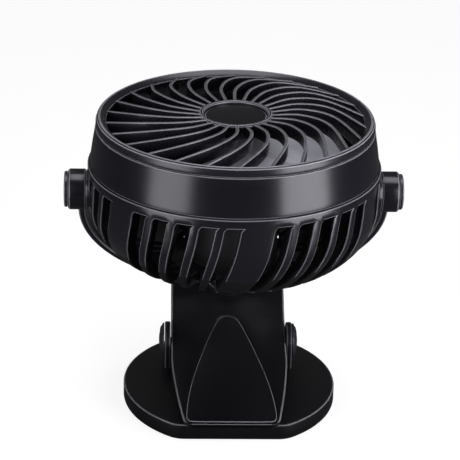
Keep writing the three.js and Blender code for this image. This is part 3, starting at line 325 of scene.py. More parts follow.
cut(disc, block("jaw_recess", JAW_RECESS, (0, JAW_RECESS_Y, DISC_TOP)))
for name, hole_x, width in (("inlet_hole", INLET_X, INLET_HOLE), ("button_hole", BUTTON_X, BUTTON_HOLE)):
    cut(disc, rounded_bar(name, width, HOLE_HEIGHT, HOLE_DEPTH, (hole_x, DISC_REAR, INLET_Z)))
# The disc's upper edges round its outline get a painted highlight.
soften(disc, 0.7, segments=3, highlight=0.35, painted_highlight=lambda at, out: out.z > 0.5 and abs(
    math.hypot(at.x, at.y) - disc_reach(math.atan2(at.x, -at.y))) < HIGHLIGHT_BAND)

ears = []
for side in (-1, 1):
    bpy.ops.mesh.primitive_cylinder_add(
        vertices=64, radius=EAR_RADIUS * MM, depth=EAR_THICKNESS * MM, rotation=(0, math.pi / 2, 0),
        location=(side * (EAR_INSIDE + EAR_THICKNESS / 2) * MM, HINGE_Y * MM, HINGE_Z * MM))
    ear = new_piece("hinge_ear")
    edit(ear)
    bpy.ops.mesh.select_all(action="SELECT")
    bpy.ops.mesh.bisect(
        plane_co=(0, 0, HINGE_Z * MM), plane_no=(0, 0, 1), clear_inner=True, use_fill=True,
        threshold=1e-7)
    bpy.ops.object.mode_set(mode="OBJECT")
    pick_faces(ear, lambda at, out: at.z < HINGE_Z + 0.01 and abs(out.z) > 0.9)
    bpy.ops.mesh.extrude_region_move(
        TRANSFORM_OT_translate={"value": (0, 0, (DISC_TOP - EAR_SUNK - HINGE_Z) * MM)})
    done()
    soften(ear, 0.6, segments=3, highlight=0.15)
    ears.append(ear)

satin = moulded_plastic(
    "satin_black_plastic", SATIN_BLACK, roughness=0.4, grain=0.25, edge_light=1.0, sheen=0.3)
dressed(joined("base_disc", [disc, *ears]), "base", satin, "base_shell")


# ---------------------------------------------------------------- underside, pads and screws
# A moulded cover closes the disc from below on four self-tapping screws, under a thin rubber foot. The
# clip's two jaws have small rubber pads of the same sheet let into them.
def rubber_sheet(name, colour):
    """Moulded rubber: matt, with a fine pebbled face and a little pale bloom."""
    finish = Finish(name)
    bloom = finish.noise(60, 4)
    pebble = finish.node("TexVoronoi", values={
        "Vector": finish.node("TexCoord", output="Object"), "Scale": 1400.0})
    colours = finish.mixed((bloom * 1.4 - 0.5).clamped(), colour, tuple(2.6 * part for part in colour))
    bump = finish.node("Bump", values={"Strength": 0.5, "Distance": 0.0001, "Height": pebble})
    return finish.principled({
        "Base Color": colours,
        "Roughness": 0.72 + bloom * 0.2,
        "Specular IOR Level": 0.3,
        "Normal": bump,
    })


def plated_steel(name, colour, roughness, turning):
    """Zinc-plated or drawn steel: turning marks round the axis that it was made on, and dull spots."""
    finish = Finish(name)
    place = finish.node("TexCoord", output="Object")
    marks = finish.node("TexWave", {"wave_type": "RINGS", "rings_direction": turning}, {
        "Vector": place, "Scale": 900.0, "Distortion": 1.5})
    dull = finish.noise(160, 3)
    colours = finish.mixed(dull, colour, tuple(0.7 * part for part in colour))
    bump = finish.node("Bump", values={"Strength": 0.15, "Distance": 0.00003, "Height": marks})
    return finish.principled({
        "Base Color": colours,
        "Metallic": 0.9 + dull * 0.1,
        "Roughness": roughness + dull * 0.2,
        "Normal": bump,
    })


def finish_nodes(material, *names):
    """Gives the named CAD nodes a material."""
    for name in names:
        nodes[name].data.materials.clear()
        nodes[name].data.materials.append(material)


rubber = rubber_sheet("black_rubber", (0.0065, 0.0065, 0.0072))
steel = plated_steel("plated_steel", (0.5, 0.5, 0.52), roughness=0.22, turning="Z")
finish_nodes(satin, "base_bottom")
finish_nodes(rubber, "foot_pad", "lower_jaw_pad", "upper_jaw_pad")
finish_nodes(steel, "base_screw_1", "base_screw_2", "base_screw_3", "base_screw_4")


# ---------------------------------------------------------------- battery, board, inlet and button
# A flat pouch cell in crinkled grey foil lies under the disc's roof. The green control board behind it
# carries the switch, the pressed-steel charging inlet and the push button's contact.
cell = Finish("pouch_foil")
crinkle = cell.noise(240, 5)
foil = cell.principled({
    "Base Color": cell.mixed(crinkle, (0.2, 0.22, 0.25), (0.38, 0.41, 0.45)),
    "Metallic": 0.25 + crinkle * 0.2,
    "Roughness": 0.28 + crinkle * 0.2,
    "Normal": cell.node("Bump", values={"Strength": 0.4, "Distance": 0.0004, "Height": crinkle}),
})
board = Finish("lacquered_board")
weave = board.noise(1800, 2)
lacquer = board.principled({
    "Base Color": board.mixed(weave, (0.005, 0.05, 0.02), (0.012, 0.095, 0.035)),
    "Roughness": 0.28 + weave * 0.15,
    "Normal": board.node("Bump", values={"Strength": 0.2, "Distance": 0.00004, "Height": weave}),
})
finish_nodes(foil, "battery_pack")
finish_nodes(lacquer, "control_board")
inlet_steel = plated_steel("inlet_steel", (0.42, 0.42, 0.44), roughness=0.3, turning="Y")
finish_nodes(inlet_steel, "charging_socket")

BUTTON_WIDTH, BUTTON_HEIGHT, BUTTON_STAND = 7, 2.8, 0.8
FLANGE, FLANGE_BEHIND = (8.2, 0.4, 2.8), 0.35
STEM, STEM_BEHIND = (2.2, 2.2, 2.2), 1.2
cap_depth = DISC_WALL + BUTTON_STAND
wall_inside = DISC_REAR - DISC_WALL
button = rounded_bar(
    "push_button", BUTTON_WIDTH, BUTTON_HEIGHT, cap_depth,
    (BUTTON_X, DISC_REAR + BUTTON_STAND - cap_depth / 2, INLET_Z))
soften(button, 0.35, segments=3)
flange = block("flange", FLANGE, (BUTTON_X, wall_inside - FLANGE_BEHIND, INLET_Z))
stem = block("stem", STEM, (BUTTON_X, wall_inside - STEM_BEHIND, INLET_Z))
soften(flange, 0.1)
soften(stem, 0.1)
gloss = moulded_plastic(
    "gloss_black_plastic", (0.0058, 0.0054, 0.0076), roughness=0.24, grain=0.1, edge_light=0.5)
dressed(joined("push_button", [button, flange, stem]), "button", gloss, "power_button")


# ---------------------------------------------------------------- hinge
# A steel pin runs through both ears and the lever between them. A stepped, domed plastic cap is pressed
# on each of its ends.
HINGE_CAP = [
    (8.4, 0), (8.4, 0.5), (7.9, 1), (7.2, 1.1), (6.9, 1.6), (6.2, 1.9), (4.9, 2.2), (4.6, 2), (4.1, 2),
    (3.8, 2.3), (2, 2.5), (0.5, 2.55),
]
HINGE_CAP_GAP = 0.3


def turned(name, outline, sides, hollow=False, axis=None, at=(0, 0, 0)):
    """A circle extruded ring by ring through (radius, height) points, then closed: capped at both ends,
    or as a hollow ring whose last point joins its first. axis +1 or -1 lays it along X."""
    radius, height = outline[0]
    bpy.ops.mesh.primitive_circle_add(vertices=sides, radius=radius * MM, location=(0, 0, height * MM))
    piece = new_piece(name)
    edit(piece, "EDGE")
    bpy.ops.mesh.select_all(action="SELECT")
    for next_radius, next_height in outline[1:]:
        rise = (0, 0, (next_height - height) * MM)
        bpy.ops.mesh.extrude_region_move(TRANSFORM_OT_translate={"value": rise})
        scale = next_radius / radius
        bpy.ops.transform.resize(value=(scale, scale, 1), center_override=(0, 0, next_height * MM))
        radius, height = next_radius, next_height
    bpy.ops.mesh.select_non_manifold(extend=False)
    if hollow:
        bpy.ops.mesh.bridge_edge_loops()
    else:
        bpy.ops.mesh.fill_holes(sides=0)
    done()
    spin = Matrix.Rotation(axis * math.pi / 2, 4, "Y") if axis else Matrix.Identity(4)
    return placed(piece, Matrix.Translation(Vector(at) * MM) @ spin)


spring_steel = plated_steel("spring_steel", (0.36, 0.36, 0.38), roughness=0.3, turning="X")
finish_nodes(spring_steel, "hinge_pin")
for side, name in ((-1, "left"), (1, "right")):
    cap = turned(
        f"hinge_button_{name}", HINGE_CAP, 72, axis=side,
        at=(side * (EAR_INSIDE + EAR_THICKNESS + HINGE_CAP_GAP), HINGE_Y, HINGE_Z))
    soften(cap, 0.14, highlight=0.2)
    dressed(cap, "base", gloss, f"hinge_cap_{name}")


# ---------------------------------------------------------------- clip spring
# A torsion spring of round steel wire wound round the hinge pin. Its upper leg lifts the lever's rear end
# and its lower leg stands on the disc.
WIRE_RADIUS, WIRE_SIDES = 0.4, 14
COIL_RADIUS, COIL_TURNS, COIL_PITCH, COIL_STEPS = 2.15, 4, 1.25, 144
UPPER_LEG, UPPER_RISE = 13, math.radians(10.5)
LOWER_LEG, LOWER_FALL = 12.9, math.radians(36.6)
coil_start = math.pi / 2 + UPPER_RISE
coil_sweep = COIL_TURNS * TURN + math.pi - UPPER_RISE - LOWER_FALL
coil_half = coil_sweep / TURN * COIL_PITCH / 2
coil_stops = [(0, -UPPER_LEG), *((i / COIL_STEPS, 0) for i in range(COIL_STEPS + 1)), (1, LOWER_LEG)]
bpy.ops.mesh.primitive_circle_add(
    vertices=WIRE_SIDES, radius=WIRE_RADIUS * MM, fill_type="NGON", rotation=(math.pi / 2, 0, 0))
wire = new_piece("torsion_spring")
edit(wire)
bpy.ops.mesh.select_all(action="SELECT")
for _ in coil_stops[1:]:
    bpy.ops.mesh.extrude_region_move(TRANSFORM_OT_translate={"value": (0, MM, 0)})
bpy.ops.object.mode_set(mode="OBJECT")
for vertex in wire.data.vertices:
    share, leg = coil_stops[round(vertex.co.y / MM)]
    turn = coil_start + share * coil_sweep
    outward = Vector((0, math.cos(turn), math.sin(turn)))
    along = Vector((0, -math.sin(turn), math.cos(turn)))
    centre = Vector(((2 * share - 1) * coil_half, HINGE_Y, HINGE_Z)) + COIL_RADIUS * outward + leg * along
    vertex.co = centre * MM + vertex.co.z * outward + Vector((vertex.co.x, 0, 0))
edit(wire)
done()
smooth(wire, angle=50)
wire.data.materials.append(spring_steel)
coil_half * MM
-coil_half * MM
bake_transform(wire)
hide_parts("clip_spring")


# ---------------------------------------------------------------- clip lever
# The upper jaw and its handle are one hollow moulding: a low slope from the mouth that bends up to the
# swivel seat. An arch-shaped cover panel is snapped into its top.
LEVER_FRONT, LEVER_TIP_Z, LEVER_SLOPE = -46, 10.1, math.radians(10)
LEVER_UNDER, UNDER_BEND_Y = 8.5, 19
SEAT = Vector((47.71, 40.33))
SEAT_SLOPE = math.radians(36)
SEAT_REACH = 13
BEND_LENGTH = 18.1
REAR_THICKNESS = 10
TIP_HALF, FULL_HALF, FLARE_Y = 21.8, 27.6, 2
LEVER_WALL, LEVER_SKIN = 2, 1.8
HOLLOW_FRONT = -23
PANEL_KNOTS = [
    (0, 28.9), (3.4, 27.7), (6.2, 24.4), (10.1, 15.1), (13.9, 2), (16.9, -10.6), (19, -21.8), (20.2, -31),
    (20.8, -40), (20.1, -43), (18.1, -44.3), (10, -44.5), (0.4, -44.5),
]
PANEL_STEPS = 96
PANEL_GAP, PANEL_SKIN, PANEL_LOW = 0.3, 0.8, 3
COLUMN_LOW, COLUMN_HIGH = 2, 60
UPPER_PAD_RECESS, UPPER_PAD_Y = (34.6, 18.6, 1.6), -32
SIDE_BAND, TIP_BAND = 0.9, 0.6

seat_along = Vector((math.cos(SEAT_SLOPE), math.sin(SEAT_SLOPE)))
slope_along = Vector((math.cos(LEVER_SLOPE), math.sin(LEVER_SLOPE)))
lever_tip = Vector((LEVER_FRONT, LEVER_TIP_Z))
seat_front = SEAT - SEAT_REACH * seat_along
lever_rear = SEAT + SEAT_REACH * seat_along
to_seat = seat_front - lever_tip
along_slope = to_seat.x * seat_along.y - to_seat.y * seat_along.x
along_slope /= slope_along.x * seat_along.y - slope_along.y * seat_along.x
corner = lever_tip + along_slope * slope_along
bend = corner - BEND_LENGTH * slope_along


def lever_top(y):
    if y <= bend.x:
        return LEVER_TIP_Z + (y - LEVER_FRONT) * math.tan(LEVER_SLOPE)
    if y >= seat_front.x:
        return SEAT.y + (y - SEAT.x) * math.tan(SEAT_SLOPE)
    a, b = bend.x - 2 * corner.x + seat_front.x, 2 * (corner.x - bend.x)
    share = (-b + math.sqrt(b * b - 4 * a * (bend.x - y))) / (2 * a)
    return (1 - share) ** 2 * bend.y + 2 * share * (1 - share) * corner.y + share ** 2 * seat_front.y


def lever_under(y):
    share = max(0, y - UNDER_BEND_Y) / (lever_rear.x - UNDER_BEND_Y)
    return LEVER_UNDER + share * (lever_rear.y - REAR_THICKNESS - LEVER_UNDER)


def lever_half(y):
    share = max(0, (FLARE_Y - y) / (FLARE_Y - LEVER_FRONT))
    return FULL_HALF - (FULL_HALF - TIP_HALF) * share ** 1.5


def corner_loss(distance, radius):
    return 0 if distance >= radius else radius - math.sqrt(radius ** 2 - (radius - distance) ** 2)


def lever_body(name, stations, half_at, low_at, high_at):
    """A plank drawn out from its front face, station by station, each to its own width and heights."""
    bpy.ops.mesh.primitive_plane_add(size=MM, rotation=(math.pi / 2, 0, 0))
    piece = new_piece(name)
    y = stations[0]
    half, low, high = half_at(y), low_at(y), high_at(y)
    for vertex in piece.data.vertices:
        vertex.co = (
            math.copysign(half, vertex.co.x) * MM, y * MM, (high if vertex.co.z > 0 else low) * MM)
    edit(piece)
    bpy.ops.mesh.select_all(action="SELECT")
    middle, height = (low + high) / 2, high - low
    for next_y in stations[1:]:
        next_half, low, high = half_at(next_y), low_at(next_y), high_at(next_y)
        next_middle, next_height = (low + high) / 2, high - low
        step = (0, (next_y - y) * MM, (next_middle - middle) * MM)
        bpy.ops.mesh.extrude_region_move(TRANSFORM_OT_translate={"value": step})
        bpy.ops.transform.resize(
            value=(next_half / half, 1, next_height / height),
            center_override=(0, next_y * MM, next_middle * MM))
        y, half, middle, height = next_y, next_half, next_middle, next_height
    done()
    return piece


def spread(front, rear, tip_corner, rear_corner, count=34):
    """Stations from front to rear: even ones between the rounded corners and closer ones round them."""
    corners = [0, 0.03, 0.1, 0.22, 0.4, 0.65, 1]
    first, last = front + tip_corner, rear - rear_corner
    stations = [first + (last - first) * i / count for i in range(1, count)]
    stations += [front + c * tip_corner for c in corners] + [rear - c * rear_corner for c in corners]
    return sorted(stations)


TIP_CORNER, REAR_CORNER = 3.5, 7
lever_stations = spread(LEVER_FRONT, lever_rear.x, TIP_CORNER, REAR_CORNER)


def lever_outline(y):
    tip_loss = corner_loss(y - LEVER_FRONT, TIP_CORNER)
    return lever_half(y) - tip_loss - corner_loss(lever_rear.x - y, REAR_CORNER)


lever = lever_body("clip_lever_shell", lever_stations, lever_outline, lever_under, lever_top)
hollow_rear = lever_rear.x - LEVER_WALL
cut(lever, lever_body(
    "hollow", spread(HOLLOW_FRONT, hollow_rear, TIP_CORNER, REAR_CORNER - LEVER_WALL),
    lambda y: lever_half(y) - LEVER_WALL - corner_loss(hollow_rear - y, REAR_CORNER - LEVER_WALL),
    lambda y: lever_under(y) - OVERRUN, lambda y: lever_top(y) - LEVER_SKIN))


def through(knots, share):
    """A point on the smooth line through the knots, share of the way from the first to the last."""
    ends = [2 * knots[0] - knots[1], *knots, 2 * knots[-1] - knots[-2]]
    spans = len(knots) - 1
    first = min(int(share * spans), spans - 1)
    u = share * spans - first
    a, b, c, d = ends[first:first + 4]
    straight = 2 * b + (c - a) * u
    bent = (2 * a - 5 * b + 4 * c - d) * u ** 2
    return 0.5 * (straight + bent + (3 * b - a - 3 * c + d) * u ** 3)


def arch_column(name, grown):
    """The panel's outline, straight at the mouth and arched to its apex, grown all round and drawn up
    into a column."""
    knots = [Vector(knot) for knot in PANEL_KNOTS]
    half = [through(knots, i / PANEL_STEPS) for i in range(PANEL_STEPS + 1)]
    outline = [point * Vector((-1, 1)) for point in half[:0:-1]] + half
    bpy.ops.mesh.primitive_circle_add(vertices=len(outline), radius=1, fill_type="NGON")
    column = new_piece(name)
    for i, vertex in enumerate(column.data.vertices):
        before, after = outline[i - 1], outline[(i + 1) % len(outline)]
        along = (after - before).normalized()
        point = outline[i] + grown * Vector((-along.y, along.x))
        vertex.co = Vector((point.x, point.y, COLUMN_LOW)) * MM
    edit(column)
    bpy.ops.mesh.select_all(action="SELECT")
    rise = (0, 0, (COLUMN_HIGH - COLUMN_LOW) * MM)
    bpy.ops.mesh.extrude_region_move(TRANSFORM_OT_translate={"value": rise})
    done()
    return column


def beneath(name, depth):
    """All that lies deeper than depth under the lever's top."""
    return lever_body(
        name, [LEVER_FRONT - 2 * OVERRUN, *lever_stations[1:-1], lever_rear.x + 2 * OVERRUN],
        lambda y: FULL_HALF + 4 * OVERRUN, lambda y: -4 * OVERRUN, lambda y: lever_top(y) - depth)


recess = arch_column("recess", PANEL_GAP)
cut(recess, beneath("deep", PANEL_SKIN + PANEL_GAP))
cut(lever, recess)
cut(lever, block("pad_recess", UPPER_PAD_RECESS, (0, UPPER_PAD_Y, LEVER_UNDER)))
# A painted highlight on the lever's upper side edges and on its tip.
soften(lever, 0.75, segments=3, highlight=0.4, painted_highlight=lambda at, out: out.z > 0.6 and (
    abs(at.x) > lever_outline(at.y) - SIDE_BAND or at.y < LEVER_FRONT + TIP_BAND))
dressed(lever, "clip_lever", satin, "lever_shell")

panel = lever_body(
    "cover_panel", lever_stations, lambda y: FULL_HALF + 2 * OVERRUN, lambda y: PANEL_LOW, lever_top)
cut(panel, arch_column("arch", 0), "INTERSECT")
cut(panel, beneath("under", PANEL_SKIN))
# A painted highlight on the panel's upward-facing edges.
soften(panel, 0.42, segments=3, highlight=0.35, painted_highlight=lambda at, out: out.z > 0.6)
panel_black = moulded_plastic(
    "panel_black_plastic", (0.0042, 0.0038, 0.0052), roughness=0.36, grain=0.16, edge_light=1.3, sheen=0.3)
dressed(panel, "clip_lever", panel_black, "lever_panel")
finish_nodes(satin, "lever_underside")


# ---------------------------------------------------------------- yoke
# A U of gloss black plastic, 15 mm wide, whose two knobs hold the head. Its foot is a disc that turns on
# the lever's seat round one screw. It is made upright and then leaned back by the seat's 36 degrees.
TILT_Z = 106
YOKE_OUTSIDE, YOKE_THICKNESS, YOKE_WIDTH, YOKE_DROP = 70.7, 3.3, 15, 6.5
KNOB = [(9.3, 67.4), (9.3, 74.5), (8.5, 75.3), (5.2, 75.3), (5.2, 71.4), (2.2, 71.4), (2.2, 67.4)]
PIVOT_CAP = [
    (4.8, 74.7), (4.8, 75.6), (8.2, 75.6), (8.2, 76.6), (7.8, 77), (6.5, 77), (6.2, 76.6), (5.9, 76.6),
    (5.6, 77),
]
FOOT_DISC = [(11.4, -80.9), (12, -80.3), (12, -75.6)]
leaned = Matrix.Translation((0, 0, TILT_Z * MM)) @ Matrix.Rotation(SEAT_SLOPE, 4, "X")

middle_radius = YOKE_OUTSIDE - YOKE_THICKNESS / 2
bpy.ops.mesh.primitive_plane_add(size=MM, location=(middle_radius * MM, 0, -YOKE_DROP * MM))
bpy.context.object.scale = (YOKE_THICKNESS, YOKE_WIDTH, 1)
strap = new_piece("yoke_strap")
edit(strap)
bpy.ops.mesh.select_all(action="SELECT")
bpy.ops.mesh.spin(steps=96, angle=math.pi, center=(0, 0, -YOKE_DROP * MM), axis=(0, -1, 0))
done()
pick_faces(strap, lambda at, out: abs(out.z) > 0.9 and abs(at.z + YOKE_DROP) < 0.01)
bpy.ops.mesh.extrude_region_move(TRANSFORM_OT_translate={"value": (0, 0, YOKE_DROP * MM)})
done()
soften(strap, 0.7, segments=3)
pieces = [strap]
for side in (-1, 1):
    knob = turned("knob", KNOB, 96, hollow=True, axis=side)
    soften(knob, 0.25)
    pieces.append(knob)
foot_disc = turned("foot_disc", FOOT_DISC, 96)
soften(foot_disc, 0.2)
yoke = joined("yoke_strap", [*pieces, foot_disc])
dressed(placed(yoke, leaned), "yoke", gloss, "yoke_arm")

for side, name in ((-1, "left"), (1, "right")):
    cap = turned(f"knob_cap_{name}", PIVOT_CAP, 96, axis=side)
    soften(cap, 0.15)
    dressed(placed(cap, leaned), "yoke", gloss, f"pivot_cap_{name}")
finish_nodes(steel, "swivel_screw", "swivel_washer", "pivot_screw_left", "pivot_screw_right")


# ---------------------------------------------------------------- rear shell
# The bowl behind the impeller: 38 slot places swirl down to its flat floor, some of them left solid, with
# fins behind the bars between them, a deep pocket for the motor in the middle and a boss at each side for
# the pivot screws.
DOME_RADIUS, DOME_WALL = 66.39, 2
SEAM_Z, SLOT_TOP, SLOT_SHOULDER, WALL_END, FLOOR_Z = 14.2, 10.2, 8.9, -2, -34
FLAT_RADIUS, FLAT_LAP, SLOT_END_RADIUS = 26, 3, 29
SLOT_PLACES, SLOT_WIDTH, SLOT_FIRST = 38, math.radians(6.1), math.radians(-1.5)
SOLID_PLACES = {1, 7, 13, 20, 27, 33}
SLOT_SWIRL, SHOULDER_SWIRL, WALL_SWIRL = math.radians(18), 1 / 7, 2 / 7
SLOT_COLUMNS, BAR_COLUMNS = 4, 2
FIN_DEPTH, FIN_INSET = 5.5, 0.12
WALL_STEPS, ARC_STEPS = 3, 16
END_ROW, END_ROW_SWIRL = 0.975, 0.98
# How low the bowl's painted edge highlight and its rougher, painted-shade core side reach.
HIGHLIGHT_LOW, CORE_LOW = -29, -28
CORE_CENTRE_Z, CORE_BEHIND_WALL, CORE_BEHIND_ARC = -6, 1.5, 3
BOSS = [(9, 59.1), (9, 67.1), (2.2, 67.1), (2.2, 59.1)]
POCKET = [
    (18.8, -34), (26.6, -34), (26.6, -32), (20.6, -32), (20.6, -6.2), (4.5, -6.2), (4.5, -8.2),
    (18.8, -8.2),
]
pitch = TURN / SLOT_PLACES
arc_end = math.acos((SLOT_END_RADIUS - FLAT_RADIUS) / (DOME_RADIUS - FLAT_RADIUS))


def arc_point(share):
    angle = share * arc_end
    return (
        FLAT_RADIUS + (DOME_RADIUS - FLAT_RADIUS) * math.cos(angle),
        WALL_END + (FLOOR_Z - WALL_END) * math.sin(angle))


# Each row of the bowl: its radius, its height and how far along the slot's swirl it lies.
bowl_rows = [
    (DOME_RADIUS, SEAM_Z, 0), (DOME_RADIUS, SLOT_TOP, 0), (DOME_RADIUS, SLOT_SHOULDER, SHOULDER_SWIRL)]
for i in range(1, WALL_STEPS + 1):
    bowl_rows.append((
        DOME_RADIUS, SLOT_SHOULDER + (WALL_END - SLOT_SHOULDER) * i / WALL_STEPS,
        SHOULDER_SWIRL + (WALL_SWIRL - SHOULDER_SWIRL) * i / WALL_STEPS))
for i in range(1, ARC_STEPS):
    bowl_rows.append((*arc_point(i / ARC_STEPS), WALL_SWIRL + (1 - WALL_SWIRL) * i / ARC_STEPS))
bowl_rows += [
    (*arc_point(END_ROW), END_ROW_SWIRL), (*arc_point(1), 1), (FLAT_RADIUS, FLOOR_Z, 1),
    (FLAT_RADIUS - FLAT_LAP, FLOOR_Z, 1)]


def is_open(turn):
    """Whether a slot is cut at this turn: not in a place left solid, nor over a pivot boss."""
    place = round((turn - SLOT_FIRST) / pitch) % SLOT_PLACES
    middle = SLOT_FIRST + place * pitch
    inside = abs((turn - middle + math.pi) % TURN - math.pi) < SLOT_WIDTH / 2
    from_pivot = abs(math.asin(max(-1, min(1, math.cos(middle)))))
    clear_of_boss = from_pivot > BOSS[0][0] / DOME_RADIUS + SLOT_WIDTH / 2
    return inside and clear_of_boss and place not in SOLID_PLACES


columns = SLOT_COLUMNS + BAR_COLUMNS
bpy.ops.mesh.primitive_circle_add(vertices=columns * SLOT_PLACES, radius=DOME_RADIUS * MM)
bowl = new_piece("slotted_bowl")
for i, vertex in enumerate(bowl.data.vertices):
    place, column = divmod(i, columns)
    across = min(column, SLOT_COLUMNS) / SLOT_COLUMNS * SLOT_WIDTH - SLOT_WIDTH / 2
    across += max(0, column - SLOT_COLUMNS) / BAR_COLUMNS * (pitch - SLOT_WIDTH)
    turn = SLOT_FIRST + place * pitch + across
    vertex.co = Vector((DOME_RADIUS * math.sin(turn), -DOME_RADIUS * math.cos(turn), SEAM_Z)) * MM
edit(bowl, "EDGE")
bpy.ops.mesh.select_all(action="SELECT")
for (radius, height, _), (next_radius, next_height, _) in zip(bowl_rows, bowl_rows[1:]):
    bpy.ops.mesh.extrude_region_move(
        TRANSFORM_OT_translate={"value": (0, 0, (next_height - height) * MM)})
    scale = next_radius / radius
    bpy.ops.transform.resize(value=(scale, scale, 1), center_override=(0, 0, next_height * MM))
bpy.ops.mesh.select_all(action="SELECT")
bpy.ops.mesh.normals_make_consistent(inside=False)
slot_end_z = arc_point(1)[1]
pick_faces(bowl, lambda at, out: slot_end_z < at.z < SLOT_TOP and is_open(math.atan2(at.x, -at.y)))
bpy.ops.mesh.delete(type="FACE")
bpy.ops.object.mode_set(mode="OBJECT")
for vertex in bowl.data.vertices:
    flat = math.hypot(vertex.co.x, vertex.co.y) / MM
    row = min(bowl_rows, key=lambda r: abs(r[0] - flat) + abs(r[1] - vertex.co.z / MM))
    vertex.co = Matrix.Rotation(-SLOT_SWIRL * row[2] ** 1.5, 3, "Z") @ vertex.co
select_only(bowl)
bpy.ops.object.duplicate()
fins = bpy.context.object
pick_faces(fins, lambda at, out: at.z > SLOT_SHOULDER or at.z < slot_end_z)
bpy.ops.mesh.delete(type="FACE")
bpy.ops.object.mode_set(mode="OBJECT")
apply_modifier(fins, "SOLIDIFY", thickness=FIN_DEPTH * MM, offset=-1)
for vertex in fins.data.vertices:
    vertex.co -= vertex.normal * FIN_INSET * MM
smooth(fins, angle=45)
apply_modifier(bowl, "SOLIDIFY", thickness=DOME_WALL * MM, offset=-1)
# A painted highlight on the outward-facing slot edges above the floor.
soften(bowl, 0.38, angle=50, highlight=0.75, painted_highlight=lambda at, out: (
    at.z > HIGHLIGHT_LOW and at.xy.dot(out.xy) / at.xy.length > 0.25))

pocket = turned("motor_pocket", POCKET, 96, hollow=True)
soften(pocket, 0.4, highlight=0)
bosses = []
for side in (-1, 1):
    boss = turned("pivot_boss", BOSS, 72, hollow=True, axis=side)
    soften(boss, 0.3, highlight=0.5)
    bosses.append(boss)
raised = Matrix.Translation((0, 0, TILT_Z * MM))
bowl = joined("slotted_bowl", [bowl, fins, pocket, *bosses])
# The faces inside the bowl are marked: a rougher finish, and painted darker as painted shade.
core_shade_marks = bowl.data.attributes.new("core_side_painted_shade", "FLOAT", "FACE")
for mark, face in zip(core_shade_marks.data, bowl.data.polygons):
    centre = face.center / MM
    outward, below = centre.xy.length, max(0, CORE_CENTRE_Z - centre.z)
    behind_arc = math.hypot(outward, below) < DOME_RADIUS - CORE_BEHIND_ARC
    mark.value = float(behind_arc and outward < DOME_RADIUS - CORE_BEHIND_WALL and centre.z > CORE_LOW)
placed(bowl, raised)
dressed(bowl, "head", gloss, "rear_shell")

HUB_COVER = [(21, -35.4), (21.6, -34.8), (21.6, -34.3), (18.5, -34.3), (18.5, -31.1)]
hub_cover = turned("motor_cover", HUB_COVER, 96)
soften(hub_cover, 0.2)
dressed(placed(hub_cover, raised), "head", satin, "rear_hub_cover")


# ---------------------------------------------------------------- motor
# A small brushed motor in a drawn steel can, held up in the pocket by two screws, with a plastic end cap
# below and its shaft running up into the impeller.
motor_steel = plated_steel("motor_steel", (0.44, 0.44, 0.46), roughness=0.26, turning="Z")
finish_nodes(motor_steel, "motor_can", "motor_shaft")
finish_nodes(steel, "motor_screw_front", "motor_screw_rear")
finish_nodes(satin, "motor_end_cap")


# ---------------------------------------------------------------- impeller
# Four broad, twisted blades round a cupped hub, moulded in one of glossy dark grey plastic that is pressed
# on the motor's shaft.
BLADE_COUNT, BLADE_GRID = 4, 14
BLADE_ROOT, BLADE_TIP, BLADE_TAPER = 14.1, 56, 0.25
BLADE_WIDTH, BLADE_SWELL, BLADE_SWEEP = math.radians(44), math.radians(10), math.radians(14)
BLADE_LOW, BLADE_RISE, BLADE_WASHOUT, BLADE_CAMBER = 7.5, 15, 5, 1.6
BLADE_THICKNESS = 1.5
BLADE_REST = math.radians(18)
HUB = [
    (13.2, 5), (15, 5), (15, 20.2), (14.5, 21.8), (13.4, 22.9), (10, 23.9), (5, 24), (4.9, 22.3),
    (12.2, 21.2), (13.2, 20),
]
HUB_LID = [(5.05, 22.3), (5.05, 24)]
HUB_BOSS = [(1.6, 12.2), (4.5, 12.2), (4.5, 23), (1.6, 23)]

pieces = []
for number in range(BLADE_COUNT):
    bpy.ops.mesh.primitive_grid_add(x_subdivisions=BLADE_GRID, y_subdivisions=BLADE_GRID, size=1)
    blade = new_piece("blade")
    for vertex in blade.data.vertices:
        out, along = vertex.co.x + 0.5, vertex.co.y + 0.5
        swell = math.sqrt(math.sin(min(out, 0.999) * math.pi))
        width = (BLADE_WIDTH + BLADE_SWELL * swell) * (1 - BLADE_TAPER * out ** 4)
        turn = number * TURN / BLADE_COUNT + BLADE_REST + (along - 0.5) * width + BLADE_SWEEP * out
        radius = BLADE_ROOT + (BLADE_TIP - BLADE_ROOT) * out
        rise = (BLADE_RISE - BLADE_WASHOUT * out) * along + BLADE_CAMBER * math.sin(along * math.pi)
        height = BLADE_LOW + BLADE_WASHOUT * out / 2 + rise
        vertex.co = Vector((radius * math.sin(turn), -radius * math.cos(turn), height)) * MM
    apply_modifier(blade, "SOLIDIFY", thickness=BLADE_THICKNESS * MM, offset=0)
    apply_modifier(blade, "SUBSURF", levels=1, render_levels=1)
    edit(blade)
    done()
    smooth(blade, angle=50)
    pieces.append(blade)
hub = turned("impeller_hub", HUB, 96, hollow=True)
soften(hub, 0.3)
hub_lid = turned("impeller_lid", HUB_LID, 96)
hub_boss = turned("impeller_boss", HUB_BOSS, 48, hollow=True)
smooth(hub_lid)
smooth(hub_boss)
impeller = placed(joined("impeller_blades", [*pieces, hub, hub_lid, hub_boss]), raised)
grey_gloss = moulded_plastic(
    "grey_gloss_plastic", (0.4, 0.405, 0.43), roughness=0.24, grain=0.06, edge_light=0.3)
dressed(impeller, "rotor", grey_gloss, "impeller")


# ---------------------------------------------------------------- housing band
# The plain belt round the head between the two seams, a little bellied, with a skirt that snaps into the
# rear shell.
BAND = [
    (60.8, 32), (62.8, 32), (63.45, 28), (64.15, 24), (64.75, 20), (65.2, 17), (65.5, 14.5), (64.1, 14.5),
    (64.1, 10.9), (62.5, 10.9), (62.5, 14.5), (62.75, 23.1),
]
band = turned("head_band", BAND, 192, hollow=True)
soften(band, 0.35, segments=3, angle=40)
dressed(placed(band, raised), "head", gloss, "housing_band")


